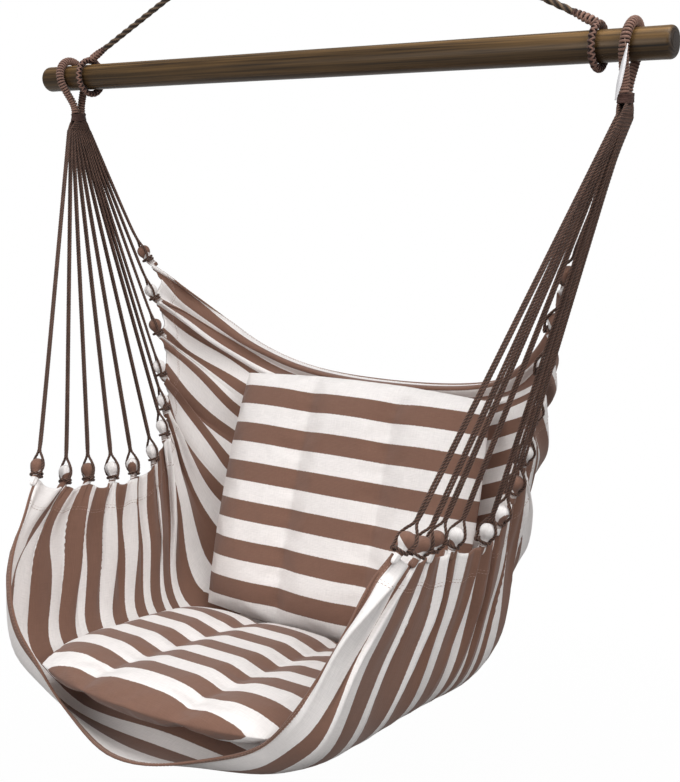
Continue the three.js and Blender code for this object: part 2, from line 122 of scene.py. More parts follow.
def remap(tree, value, low, high, to_low, to_high):
    """A number carried from one range to another and held inside it."""
    return add(tree, "ShaderNodeMapRange", {0: value, 1: low, 2: high, 3: to_low, 4: to_high}).outputs[0]


def noise(tree, place, scale, detail, **more):
    """Noise at a place. Three numbers as its scale stretch it by axis."""
    if isinstance(scale, tuple):
        place, scale = add(tree, "ShaderNodeMapping", {"Vector": place, "Scale": scale}).outputs[0], 1.0
    return add(tree, "ShaderNodeTexNoise", {"Vector": place, "Scale": scale, "Detail": detail, **more}).outputs["Fac"]


def mixed(tree, share, first, second, blend="MIX"):
    return add(tree, "ShaderNodeMix", {0: share, 6: first, 7: second}, data_type="RGBA", blend_type=blend).outputs[2]


def stops(tree, share, low, high, *between):
    """A colour for each share. A stop is a position and a hex colour."""
    node = add(tree, "ShaderNodeValToRGB", {"Fac": share})
    for element, (position, colour) in zip(node.color_ramp.elements, (low, high)):
        element.position, element.color = position, linear(colour)
    for position, colour in between:
        node.color_ramp.elements.new(position).color = linear(colour)
    return node.outputs["Color"]


def relief(tree, height, strength, distance, **more):
    links = {"Strength": strength, "Distance": distance, "Height": height, **more}
    return add(tree, "ShaderNodeBump", links).outputs["Normal"]


def surface(tree, colour, roughness, normal, more):
    """A principled surface, which ends a material."""
    links = {"Base Color": colour, "Roughness": roughness, "Normal": normal, **more}
    add(tree, "ShaderNodeOutputMaterial", {"Surface": add(tree, "ShaderNodeBsdfPrincipled", links).outputs[0]})


def placed(name, mesh):
    piece = bpy.data.objects.new(name, mesh)
    bpy.context.scene.collection.objects.link(piece)
    return piece


def store_crest(mesh, crest):
    """Stores how far each point stands out, 0 in a groove and 1 on a crest, for the material, which paints shade in
    the grooves and highlight on the crests from it.
    """
    layer = mesh.attributes.get("crest") or mesh.attributes.new("crest", "FLOAT", "POINT")
    layer.data.foreach_set("value", np.full(len(mesh.vertices), crest, dtype=np.float32))


def mesh_piece(name, points, faces, material, uv=None, crest=None):
    """A smooth mesh object at the origin, its place in its points."""
    mesh = bpy.data.meshes.new(name)
    mesh.from_pydata([tuple(p) for p in np.asarray(points).tolist()], [], faces)
    if uv is not None:
        layer = mesh.uv_layers.new(name="cloth_metres")
        corner_points = np.empty(len(mesh.loops), dtype=np.int32)
        mesh.loops.foreach_get("vertex_index", corner_points)
        layer.data.foreach_set("uv", np.asarray(uv, dtype=np.float32)[corner_points].ravel())
    if crest is not None:
        store_crest(mesh, crest)
    mesh.materials.append(material)
    mesh.polygons.foreach_set("use_smooth", [True] * len(mesh.polygons))
    mesh.validate()
    return placed(name, mesh)


def points_of(mesh):
    points = np.empty(len(mesh.vertices) * 3)
    mesh.vertices.foreach_get("co", points)
    return points.reshape(-1, 3)


def quads(grid, way=1):
    """Faces of a grid of point numbers. A way of -1 turns them over."""
    first, *rest = grid[:-1, :-1], grid[:-1, 1:], grid[1:, 1:], grid[1:, :-1]
    return np.stack([first, *rest[::way]], axis=-1).reshape(-1, 4).tolist()


def softened(piece):
    smooth = piece.modifiers.new("soften", "SUBSURF")
    smooth.levels = smooth.render_levels = 1


print("white in linear light:", linear("#ffffff"))

# %% [markdown]
# ## Twisted cord: the material
# The cords are polyester yarns laid into three strands. Between the strands lies shadow and a
# deeper colour, and the crests catch the light, so the mesh stores how deep each point lies and
# the material reads that: it paints the grooves darker and the crests lighter, partly the strands'
# own deeper colour and partly painted shade in the grooves and painted highlight on the crests.
# Yarn is rough, with a weak sheen from loose fibres.

# %% Laid cord material
def laid_cord(name, deep, middle, crest, fibre_mm):
    """Brown laid cord, darker in the grooves and lighter on the crests: partly its own colour, partly painted shade
    and painted highlight. fibre_mm is the spacing of the visible fibres along the strand.
    """
    material, tree, place = start_material(name)
    depth = add(tree, "ShaderNodeAttribute", attribute_name="crest").outputs["Fac"]
    # The colour runs from the groove colour to the crest colour: partly the strands' own colour, partly painted shade
    # in the grooves and painted highlight on the crests.
    yarn_with_painted_shade_and_highlight = stops(tree, depth, (0.0, deep), (1.0, crest), (0.55, middle))
    dust = remap(tree, noise(tree, place, 55.0, 2.0), 0.35, 0.7, 0.82, 1.15)
    fibres = relief(tree, noise(tree, place, 1000 / fibre_mm, 2.0), 0.35, 0.0005)
    surface(tree, mixed(tree, 1.0, yarn_with_painted_shade_and_highlight, dust, "MULTIPLY"), 0.78, fibres,
            {"Sheen Weight": 0.12, "Sheen Roughness": 0.5, "Specular IOR Level": 0.3})
    return material


# The first colour of each is for the grooves, darkened partly by painted shade, and the last for the crests, lightened
# partly by painted highlight.
CORD_YARN = laid_cord("laid_polyester_cord", "#1f130e", "#4b352c", "#866555", 0.6)
ROPE_YARN = laid_cord("laid_polyester_rope", "#1b1410", "#4c3c30", "#7f6a55", 0.8)
SERVING_YARN = laid_cord("coarse_serving_cord", "#170e0c", "#4a3028", "#8d6c5e", 0.7)
print("cord materials:", CORD_YARN.name, ROPE_YARN.name, SERVING_YARN.name)

# %% [markdown]
# ## A laid cord as a mesh
# A curve with a round bevel gives a smooth hose. A laid cord has lobes that wind along it, so this
# function sweeps a section with three crests and turns it as it goes. Each point of the section
# stays on its strand, which lets a few points a ring draw a clean twist. The path's own points
# are returned too, because a cord is measured along them.

# %% Sweep a twisted section along a path
def lengths_along(path):
    """The way from the first point to each point of a path."""
    return np.concatenate([[0], np.cumsum(np.linalg.norm(np.diff(path, axis=0), axis=1))])


def hermite(s, start, leave, end, arrive):
    """The cubic from start to end that leaves and arrives by the given slopes."""
    return ((2 * s**3 - 3 * s**2 + 1) * start + (s**3 - 2 * s**2 + s) * leave
            + (-2 * s**3 + 3 * s**2) * end + (s**3 - s**2) * arrive)


def smooth_path(points, step):
    """A centripetal curve through the points, which never loops back, then even steps along it."""
    p = np.array([tuple(q) for q in points], dtype=float)
    ends = np.vstack([2 * p[0] - p[1], p, 2 * p[-1] - p[-2]])
    h = np.sqrt(np.linalg.norm(np.diff(ends, axis=0), axis=1))
    w = np.linspace(0, 1, 12, endpoint=False)[:, None]
    run = []
    for i in range(len(p) - 1):
        a, b, c, d = ends[i:i + 4]
        before, here, after = h[i:i + 3]
        leave = ((b - a) / before - (c - a) / (before + here) + (c - b) / here) * here
        arrive = ((c - b) / here - (d - b) / (here + after) + (d - c) / after) * here
        run.append(hermite(w, b, leave, c, arrive))
    dense = np.vstack([*run, p[-1:]])
    along = lengths_along(dense)
    count = max(2, int(round(along[-1] / step)) + 1)
    even = np.linspace(0, along[-1], count)
    return np.column_stack([np.interp(even, along, dense[:, i]) for i in range(3)]), along[-1]


def frames_along(path):
    """Tangent and two side vectors at each point, carried along without spinning."""
    tangent = np.gradient(path, axis=0)
    tangent /= np.linalg.norm(tangent, axis=1)[:, None]
    side = np.cross(tangent[0], (0.31, 0.83, 0.46))
    sides = []
    for t in tangent:
        side = side - t * side.dot(t)
        side = side / np.linalg.norm(side)
        sides.append(side)
    sides = np.array(sides)
    return tangent, sides, np.cross(tangent, sides)


def tube_faces(rows, count):
    """Faces of a tube of rings, closed at both ends."""
    start, step = np.arange(rows - 1)[:, None] * count, np.arange(count)[None, :]
    here, beside = (start + step).ravel(), (start + (step + 1) % count).ravel()
    faces = np.column_stack([here, beside, beside + count, here + count]).tolist()
    return faces + [list(range(count))[::-1], [(rows - 1) * count + i for i in range(count)]]


def laid_piece(name, route, material, radius, pitch, step, groove=0.8, strands=3, per_strand=3):
    """A laid cord along a route, with its centre line and length."""
    path, length = smooth_path(route, step)
    _, one, two = frames_along(path)
    count = strands * per_strand
    spin = np.linspace(0, length, len(path)) / pitch * 2 * math.pi
    angle = spin[:, None] + np.arange(count)[None, :] * 2 * math.pi / count
    crest = 0.5 + 0.5 * np.cos(np.arange(count) * 2 * math.pi / per_strand)
    reach = radius * (groove + (1 - groove) * crest)[None, :, None]
    ring = path[:, None, :] + reach * (np.cos(angle)[..., None] * one[:, None, :]
                                       + np.sin(angle)[..., None] * two[:, None, :])
    faces = tube_faces(len(path), count)
    return mesh_piece(name, ring.reshape(-1, 3), faces, material, crest=np.tile(crest, len(path))), path, length


print("a 10 cm cord is measured as", smooth_path([(0, 0, 0), (0, 0, 0.1)], 0.0013)[1], "m")

# %% [markdown]
# ## Where the cords go
# Each side has twelve doubled cords. A cord leaves the collar under the bar, runs down to a tuft of
# gathered cloth, opens round the tuft's head like a ring, winds round the neck under it and comes
# back up beside itself. The knots stand where the photograph shows them, in shares of the
# cloth's half span, reach and drop.

# %% Tie points and the frame at each one
HALF_SPAN, REACH, DROP = 0.372, 0.418, 0.890
TIE_SHARES = [
    (0.806, -0.603, 0.638), (0.793, -0.486, 0.661), (0.782, -0.385, 0.667), (0.785, -0.261, 0.678),
    (0.823, -0.115, 0.688), (0.82, -0.005, 0.674), (0.833, 0.072, 0.635), (0.852, 0.098, 0.59),
    (0.876, 0.108, 0.528), (0.903, 0.122, 0.453), (0.93, 0.134, 0.39), (0.968, 0.139, 0.32)]
CORD_COUNT = len(TIE_SHARES)
CORD_PITCH, WRAP_PITCH, WRAP_TURNS, WRAP_STEPS = 0.0039, 0.0042, 1.5, 12
TUFT_NECK, TUFT_BALL, BALL_OFFSET = 0.0052, 0.0100, 0.0138
CORD_RADIUS = CORD_DIAMETER / 2
CORD_BODY = 0.0021
SPLIT_TOP, SPLIT_EASE, PAIR_RISE, PAIR_GUIDE = 0.64, 0.011, 0.021, 0.052
WRAP_RADIUS = (TUFT_NECK + CORD_RADIUS + GAP) / math.cos(math.pi / 8) + 0.1 * MM
PASS_RADIUS = WRAP_RADIUS + CORD_DIAMETER + GAP + 0.2 * MM
SPLIT_RADIUS = TUFT_BALL + CORD_RADIUS + 2 * GAP
PAIR_HALF = CORD_RADIUS + GAP


def from_shares(x, y, z):
    return Vector((x * HALF_SPAN, y * REACH, BAR_Z - z * DROP))


ties = [from_shares(*share) for share in TIE_SHARES]
neck_point = Vector((NECK_X, NECK_Y, COLLAR_BOTTOM))
tie_frames = []
for k, tie in enumerate(ties):
    up = (neck_point - tie).normalized()
    along = ties[min(k + 1, CORD_COUNT - 1)] - ties[max(k - 1, 0)]
    along = (along - up * along.dot(up)).normalized()
    tie_frames.append((tie, up, along, along.cross(up).normalized()))
print("first and last tie on the right, mm:", [[round(c * 1000) for c in ties[n]] for n in (0, -1)])

# %% One cord's route, from slot to slot
def cord_route(k):
    tie, up, along, out = tie_frames[k]

    def at(o, a, u):
        return tie + out * o + along * a + up * u

    sign = 1 if out.x >= 0 else -1
    slot_y = NECK_Y + (k - (CORD_COUNT - 1) / 2) * CORD_PITCH
    slots = [Vector((NECK_X + s * PAIR_HALF, slot_y, COLLAR_BOTTOM - GAP - 0.9 * MM)) for s in (sign, -sign)]
    low = -0.5 * WRAP_TURNS * WRAP_PITCH
    route = [slots[0], at(PAIR_HALF, 0, PAIR_GUIDE), at(PAIR_HALF, 0, BALL_OFFSET + PAIR_RISE),
             at(SPLIT_RADIUS * SPLIT_TOP, 0, BALL_OFFSET + SPLIT_EASE),
             at(SPLIT_RADIUS, 0, BALL_OFFSET + 0.001), at(SPLIT_RADIUS * 0.86, 0, BALL_OFFSET - 0.007)]
    for i in range(WRAP_STEPS + 1):
        share = i / WRAP_STEPS
        turn = share * WRAP_TURNS * 2 * math.pi
        route.append(at(WRAP_RADIUS * math.cos(turn), WRAP_RADIUS * math.sin(turn),
                        (0.5 - share) * WRAP_TURNS * WRAP_PITCH))
    route += [at(-PASS_RADIUS * 0.93, -PASS_RADIUS * 0.36, low + 0.6 * MM),
              at(-PASS_RADIUS, -PASS_RADIUS * 0.12, low + 0.006), at(-SPLIT_RADIUS, 0, BALL_OFFSET + 0.001),
              at(-SPLIT_RADIUS * SPLIT_TOP, 0, BALL_OFFSET + SPLIT_EASE),
              at(-PAIR_HALF, 0, BALL_OFFSET + PAIR_RISE), at(-PAIR_HALF, 0, PAIR_GUIDE), slots[1]]
    return route


CORD_LAY, CORD_STEP = 0.0135, 0.0013
for side, word in SIDES:
    for k in range(CORD_COUNT):
        route = [Vector((side * p.x, p.y, p.z)) for p in cord_route(k)]
        cord, path, length = laid_piece(f"{word}_twisted_cord_{k + 1:02d}", route, CORD_YARN,
                                        CORD_BODY, CORD_LAY, CORD_STEP, groove=0.84)
        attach(cord, "hammock")
        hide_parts(f"{word}_cord_{k + 1:02d}")
        if side > 0:
            print(cord.name, "is", round(length, 3), "m long, doubled")

# %% [markdown]
# ## The suspension rope
# One rope of about 9 mm runs up from the left sling, makes an eye for the hook and comes down to
# the right sling. It bears the whole load, so its legs are straight. The same sweep serves, with
# a longer lay: three strands turn once in about 45 mm.

# %% Rope from sling to sling
SLING_X, SLING_TUBE = 0.414, 0.0055
SLING_MAJOR = BAR_RADIUS + SLING_TUBE + 0.7 * MM
ROPE_RADIUS, ROPE_LAY = 0.0045, 0.045
EYE_TO_APEX, EYE_HALF_WIDTH, STRAND_SPREAD = 0.054, 0.017, 0.0054
EYE_SHAPE = ((0.32, 1), (0.34, 0.72), (0.62, 0.46), (1, 0.2), (0.98, 0), (0.72, -0.08))
apex = Vector((STRAND_SPREAD, 0, -EYE_TO_APEX - 0.018))
leg_start = Vector((SLING_X, 0, BAR_Z + SLING_MAJOR))
leg_direction = (apex - leg_start).normalized()
leg_foot = leg_start + leg_direction * (0.036 + GAP)
half_rope = [leg_foot, leg_foot.lerp(apex, 0.5), apex - leg_direction * 0.034, apex - leg_direction * 0.011,
             apex + Vector((0, 0, 0.0036))]
half_rope += [Vector((wide * EYE_HALF_WIDTH, 0, -low * EYE_TO_APEX)) for wide, low in EYE_SHAPE]
rope_route = [*half_rope, Vector((0, 0, ROPE_RADIUS + 2.5 * MM)), *[Vector((-p.x, 0, p.z)) for p in half_rope[::-1]]]
rope, path, length = laid_piece("suspension_rope_laid", rope_route, ROPE_YARN, ROPE_RADIUS, ROPE_LAY, 0.003,
                                groove=0.74, per_strand=6)
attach(rope, "suspension")
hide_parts("suspension_rope")
print("suspension rope:", round(length, 3), "m")

# %% [markdown]
# ## Served eyes, by Geometry Nodes
# Each eye round the bar is a loop that was served: a coarse cord is wound round it turn beside
# turn. The turns are one small ring repeated along a path, which is work for Geometry Nodes. The
# script gives the tree a row of points with a turn and a size stored on each, and the tree sets a
# ring on every point. Each tree here ends in Realize Instances and Set Material, and what it gives
# is then made a plain mesh.

# %% What the trees share, and the tree that repeats a ring
def start_tree(name, *numbers):
    """A tree that takes a geometry, numbers and a material, and gives a geometry."""
    tree = bpy.data.node_groups.new(name, "GeometryNodeTree")
    sockets = [("Geometry", "INPUT", "Geometry"), *[(number, "INPUT", "Float") for number in numbers],
               ("Material", "INPUT", "Material"), ("Geometry", "OUTPUT", "Geometry")]
    for label, way, kind in sockets:
        tree.interface.new_socket(label, in_out=way, socket_type=f"NodeSocket{kind}")
    return tree, add(tree, "NodeGroupInput").outputs


def on_points(tree, points, shape):
    """The shape on every point, by the turn and the size that the point carries."""
    turn, size = (add(tree, "GeometryNodeInputNamedAttribute", {"Name": key}, data_type="FLOAT_VECTOR")
                  for key in ("turn", "size"))
    euler = add(tree, "FunctionNodeEulerToRotation", {"Euler": turn.outputs["Attribute"]})
    return add(tree, "GeometryNodeInstanceOnPoints", {
        "Points": points, "Instance": shape, "Rotation": euler.outputs["Rotation"],
        "Scale": size.outputs["Attribute"]}).outputs["Instances"]


def end_tree(tree, geometry, material):
    real = add(tree, "GeometryNodeRealizeInstances", {"Geometry": geometry})
    soft = add(tree, "GeometryNodeSetShadeSmooth", {0: real.outputs["Geometry"]})
    done = add(tree, "GeometryNodeSetMaterial", {"Geometry": soft.outputs[0], "Material": material})
    add(tree, "NodeGroupOutput", {"Geometry": done.outputs["Geometry"]})


def circle(tree, resolution, radius):
    return add(tree, "GeometryNodeCurvePrimitiveCircle", {"Resolution": resolution, "Radius": radius}).outputs["Curve"]


RINGS, given = start_tree("rings_on_points", "Ring Radius", "Wire Radius")
hoop = add(RINGS, "GeometryNodeCurveToMesh", {
    "Curve": circle(RINGS, 18, given["Ring Radius"]), "Profile Curve": circle(RINGS, 7, given["Wire Radius"])})
end_tree(RINGS, on_points(RINGS, given["Geometry"], hoop.outputs["Mesh"]), given["Material"])


def grown(name, tree, values, points, edges=(), **carried):
    """A plain mesh that a tree makes from points, edges between them and vectors they carry."""
    mesh = bpy.data.meshes.new(name)
    mesh.from_pydata([tuple(p) for p in points], list(edges), [])
    for key, vectors in carried.items():
        mesh.attributes.new(key, "FLOAT_VECTOR", "POINT").data.foreach_set(
            "vector", np.asarray(vectors, dtype=np.float32).ravel())
    piece = placed(name, mesh)
    modifier = piece.modifiers.new("grow", "NODES")
    modifier.node_group = tree
    for socket in tree.interface.items_tree:
        if socket.in_out == "INPUT" and socket.name in values:
            modifier[socket.identifier] = values[socket.name]
    plain = bpy.data.meshes.new_from_object(piece.evaluated_get(bpy.context.evaluated_depsgraph_get()))
    piece.modifiers.clear()
    piece.data = plain
    return piece


# %% Rings of serving cord set along a line
def served(name, line, pitch, ring_radius, wire_radius, lean, swell=(1.0, 1.0)):
    """Rings close along a line, and its path. A lean below 0 tips every other ring the other way."""
    path, _ = smooth_path(line, pitch)
    tangent, _, two = frames_along(path)
    turns = []
    for i in range(len(path)):
        tip = lean * (1 if i % 2 else -1) if lean < 0 else lean
        axis = Matrix.Rotation(tip, 3, Vector(two[i])) @ Vector(tangent[i])
        turns.append(tuple(axis.to_track_quat("Z", "Y").to_euler()))
    share = np.interp(np.linspace(0, 1, len(path)), np.linspace(0, 1, len(swell)), swell)
    values = {"Ring Radius": ring_radius, "Wire Radius": wire_radius, "Material": SERVING_YARN}
    return grown(name, RINGS, values, path, turn=turns, size=np.column_stack([share] * 3)), path


def crest_of(piece, centre_points, core, reach):
    """Stores how far each point of a served piece stands out, for the material, which paints shade between the turns
    and highlight on them from it.
    """
    place, centres = points_of(piece.data), np.array(centre_points)
    chunk = 4000
    far = np.concatenate([np.linalg.norm(place[n:n + chunk, None, :] - centres[None, :, :], axis=2).min(axis=1)
                          for n in range(0, len(place), chunk)])
    # Painted shade in the hollows between the turns and painted highlight on their tops come from this share.
    store_crest(piece.data, np.clip((far - core) / (reach - core), 0, 1))


# %% Join plain meshes into one piece
def joined(name, pieces):
    bpy.ops.object.select_all(action="DESELECT")
    for piece in pieces:
        piece.select_set(True)
    bpy.context.view_layer.objects.active = pieces[0]
    bpy.ops.object.join()
    pieces[0].name = name
    pieces[0].data.name = name
    return pieces[0]


# %% Sling eyes: crossing turns, and a splice that swells into the rope
SPLICE_AT, SPLICE_SWELL = (-0.001, 0.009, 0.018, 0.027, 0.0365), (0.62, 0.98, 1.0, 0.86, 0.72)
CORE_LAY, CORE_STEP = 0.02, 0.004
for side, word in SIDES:
    loop = [Vector((side * SLING_X, SLING_MAJOR * math.cos(a), BAR_Z + SLING_MAJOR * math.sin(a)))
            for a in np.linspace(math.pi / 2, 5 * math.pi / 2, 60)]
    core, _, _ = laid_piece(f"{word}_sling_core", loop, SERVING_YARN, 0.0036, CORE_LAY, CORE_STEP, per_strand=4)
    wraps, path = served(f"{word}_sling_wraps", loop, 0.0031, 0.0038, 0.00155, lean=-0.62)
    foot = Vector((side * SLING_X, 0, BAR_Z + SLING_MAJOR))
    direction = Vector((side * leg_direction.x, 0, leg_direction.z))
    splice = [foot + direction * d for d in SPLICE_AT]
    knot, knot_path = served(f"{word}_sling_splice", splice, 0.0029, 0.0050, 0.0017, lean=-0.5, swell=SPLICE_SWELL)
    inside, _, _ = laid_piece(f"{word}_sling_inside", splice, SERVING_YARN, 0.0042, CORE_LAY, CORE_STEP, per_strand=4)
    eye = joined(f"{word}_sling_served", [core, wraps, knot, inside])
    crest_of(eye, [*path, *knot_path], 0.0032, 0.0056)
    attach(eye, "suspension")
    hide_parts(f"{word}_sling_eye")
    print(eye.name, len(eye.data.polygons), "faces")

# %% Fan eyes: coarse square turns over the bar, closing to a neck
FAN_X, FAN_TUBE = 0.457, 0.00625
FAN_MAJOR = BAR_RADIUS + FAN_TUBE + 0.75 * MM
NECK_HALF = FAN_TUBE + GAP
NECK_DROP = 0.050
NECK_Z = BAR_Z - NECK_DROP
FAN_ARC, FAN_STEPS = math.pi * 1.28, 13


def fan_loop(side):
    """The loop from the collar over the bar and back, which leans out as it rises."""
    def lean_x(z):
        return side * (NECK_X + (FAN_X - NECK_X) * (z - NECK_Z) / (NECK_DROP + FAN_MAJOR))

    def neck(way):
        return [Vector((side * NECK_X, NECK_Y + way * NECK_HALF, NECK_Z - 3 * MM)),
                Vector((lean_x(NECK_Z + 7 * MM), NECK_Y + way * (NECK_HALF + MM), NECK_Z + 7 * MM))]

    loop = neck(-1)
    for i in range(FAN_STEPS + 1):
        a = math.pi / 2 + FAN_ARC / 2 - FAN_ARC * i / FAN_STEPS
        z = BAR_Z + FAN_MAJOR * math.sin(a)
        loop.append(Vector((lean_x(z), FAN_MAJOR * math.cos(a), z)))
    return loop + neck(1)[::-1]


for side, word in SIDES:
    loop = fan_loop(side)
    core, _, _ = laid_piece(f"{word}_fan_core", loop, SERVING_YARN, 0.0038, 0.03, CORE_STEP, per_strand=4)
    wraps, path = served(f"{word}_fan_wraps", loop, 0.0040, 0.0042, 0.00205, lean=0.2)
    eye = joined(f"{word}_fan_served", [core, wraps])
    crest_of(eye, path, 0.0038, 0.0062)
    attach(eye, "hammock")
    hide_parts(f"{word}_fan_eye")
    print(eye.name, len(path), "turns")

# %% [markdown]
# ## Collars and whipping
# Under each fan eye the cords are drawn together and bound. The binding is one fine cord wound in
# a helix over an oval bundle. A helix that follows a shape is a path, so a second tree sweeps a
# round section along a path that the script lays on the bundle.

# %% The tree that sweeps a path, and the collars
HELIX_STEPS = 18
SWEEP, given = start_tree("cord_along_path", "Wire Radius")
line = add(SWEEP, "GeometryNodeMeshToCurve", {"Mesh": given["Geometry"]})
hose = add(SWEEP, "GeometryNodeCurveToMesh", {
    "Curve": line.outputs["Curve"], "Profile Curve": circle(SWEEP, 8, given["Wire Radius"]), "Fill Caps": True})
end_tree(SWEEP, hose.outputs["Mesh"], given["Material"])


def swept(name, points, radius, material):
    edges = [(i, i + 1) for i in range(len(points) - 1)]
    return grown(name, SWEEP, {"Wire Radius": radius, "Material": material}, points, edges)


def wound(name, centre, turns, half_x, half_y, rise, radius):
    """Serving cord in a helix over an oval. half_y is its half depth at the start, at 0.4 and at the end."""
    share = np.linspace(0, 1, HELIX_STEPS * turns + 1)
    angle = share * turns * 2 * math.pi
    deep = np.interp(share, [0, 0.4, 1], half_y)
    helix = np.column_stack([half_x * np.cos(angle), deep * np.sin(angle), share * rise]) + np.array(centre)
    piece = swept(name, helix, radius, SERVING_YARN)
    store_crest(piece.data, 0.5)
    return piece


COLLAR_HALF_Y = (CORD_COUNT - 1) * CORD_PITCH / 2 + CORD_DIAMETER
for side, word in SIDES:
    band = wound(f"{word}_collar_binding", (side * NECK_X, NECK_Y, COLLAR_TOP - 0.0035), 6, 0.0088,
                 np.array((0.52, 0.46, 0.56)) * COLLAR_HALF_Y, -0.0105, 0.00105)
    strands = []
    for k in range(CORD_COUNT):
        for s in (-1, 1):
            y = (k - (CORD_COUNT - 1) / 2) * CORD_PITCH
            low = Vector((side * (NECK_X + s * PAIR_HALF), NECK_Y + y, COLLAR_BOTTOM - GAP - 1.1 * MM))
            mid = Vector((side * (NECK_X + s * 0.0046), NECK_Y + y * 0.42, COLLAR_TOP - 0.013))
            high = Vector((side * (NECK_X - s * 0.0036), NECK_Y - y * 0.40, COLLAR_TOP + 0.0020))
            strands.append(laid_piece(f"{word}_strand_{k}_{s}", [low, mid, high], CORD_YARN,
                                      CORD_RADIUS, 0.0105, 0.002)[0])
    collar = joined(f"{word}_collar_bound", [band, *strands])
    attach(collar, "hammock")
    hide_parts(f"{word}_neck_collar")
    print(collar.name, len(collar.data.polygons), "faces")

# %% Whipping below the hanging eye
WHIPPING_TURNS = 8
whipping = wound("apex_whipping_cord", (0, 0, -EYE_TO_APEX - 0.0078), WHIPPING_TURNS,
                 STRAND_SPREAD + ROPE_RADIUS + 0.0038, [ROPE_RADIUS + 0.003] * 3, 0.0156, 0.00115)
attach(whipping, "suspension")
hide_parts("apex_whipping")
print("whipping:", WHIPPING_TURNS, "turns")

# %% [markdown]
# ## The bar: stained wood
# A dowel of about 38 mm, stained olive brown under a satin varnish, with its ends rounded over.
# The grain runs along it, so the noise is stretched seventy times along X. The stain is uneven,
# paler on worn places and darker on the end grain, where it soaks in. The light on the real bar
# comes from above and leaves the lower half dark, and the lamps here don't do that fully, so
# painted shade makes the wood a little darker below and painted light a little lighter on top.
# The painted light and shade turn with the bar.

# %% Stained dowel material
STAINED_WOOD, tree, place = start_material("stained_varnished_dowel")
grain = noise(tree, place, (3.0, 210.0, 210.0), 6.0, Roughness=0.6)
stain = stops(tree, grain, (0.3, "#1a1007"), (0.72, "#80623c"))
worn = remap(tree, noise(tree, place, (2.2, 34.0, 34.0), 3.0), 0.35, 0.7, 0.72, 1.3)
where = add(tree, "ShaderNodeSeparateXYZ", {0: place}).outputs
# Painted light and shade: by height, the wood is darker underneath and lighter on top, and this turns with the bar.
painted_top_light_and_under_shade = remap(tree, where[2], BAR_Z - 0.002, BAR_Z + 0.017, 0.6, 1.15)
stain_wear_and_painted_shade = mixed(tree, 1.0, stain, calc(tree, "MULTIPLY", worn, painted_top_light_and_under_shade), "MULTIPLY")
at_end = remap(tree, calc(tree, "ABSOLUTE", where[0]), BAR_HALF - 0.0055, BAR_HALF - 0.0015, 0.0, 1.0)
ring_space = add(tree, "ShaderNodeMapping", {
    "Vector": place, "Location": (0.0, 0.006, -BAR_Z - 0.003), "Scale": (0.0, 1.0, 1.0)})
rings = add(tree, "ShaderNodeTexWave", {
    "Vector": ring_space.outputs[0], "Scale": 90.0, "Distortion": 1.6, "Detail": 2.0},
    wave_type="RINGS", rings_direction="X")
end_grain = mixed(tree, rings.outputs["Fac"], linear("#241d19"), linear("#3d332b"))
surface(tree, mixed(tree, at_end, stain_wear_and_painted_shade, end_grain), remap(tree, grain, 0.3, 0.7, 0.5, 0.38),
        relief(tree, grain, 0.25, 0.0004), {"Specular IOR Level": 0.22})
print("dowel material:", STAINED_WOOD.name)

# %% Turn the dowel
rounding, sides, round_steps = 0.007, 96, 8
profile = [(BAR_HALF, 0.0), (BAR_HALF, BAR_RADIUS - rounding)]
for i in range(1, round_steps + 1):
    a = i / round_steps * math.pi / 2
    profile.append((BAR_HALF - rounding + rounding * math.cos(a), BAR_RADIUS - rounding + rounding * math.sin(a)))
ends = profile[:]
straight = BAR_HALF - rounding - 0.01
profile += [(x, BAR_RADIUS * (1 - 0.006 * math.sin(9 * x) ** 2)) for x in np.linspace(straight, -straight, 41)]
profile += [(-x, r) for x, r in ends[::-1]]
around = np.arange(sides) / sides * 2 * math.pi
points = [(BAR_HALF, 0, BAR_Z)]
for x, r in profile[1:-1]:
    points += [(x, r * math.cos(a), BAR_Z + r * math.sin(a)) for a in around]
points.append((-BAR_HALF, 0, BAR_Z))
rows = len(profile) - 2
faces = []
for i in range(sides):
    j = (i + 1) % sides
    last = 1 + (rows - 1) * sides
    faces += [[0, 1 + i, 1 + j], [len(points) - 1, last + j, last + i]]
    for a, b in ((1 + r * sides + i, 1 + r * sides + j) for r in range(rows - 1)):
        faces.append([a, a + sides, b + sides, b])
dowel = mesh_piece("stained_dowel", points, faces, STAINED_WOOD)
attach(dowel, "bar")
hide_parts("spreader_bar")
print("dowel:", len(faces), "faces")

# %% [markdown]
# ## Striped cotton: the material
# The cloth is a heavy plain weave in coffee brown and off-white, each stripe about 31 mm wide. The
# mesh carries a UV map in metres of flat cloth: U across the chair and V from the front hem to
# the back. The stripe, the rib of the weave and the slubs all read that map, so the pattern
# follows every fold as woven cloth does. Real threads are about 0.6 mm apart, which would not show,
# so the rib is drawn at 2 mm.

# %% Striped cloth material
BROWN, OFF_WHITE = "#7d5c4d", "#f1ece9"
HEM_EDGE, STRIPE_EDGE = 0.0004, 0.006
RIB_PITCH = 0.002


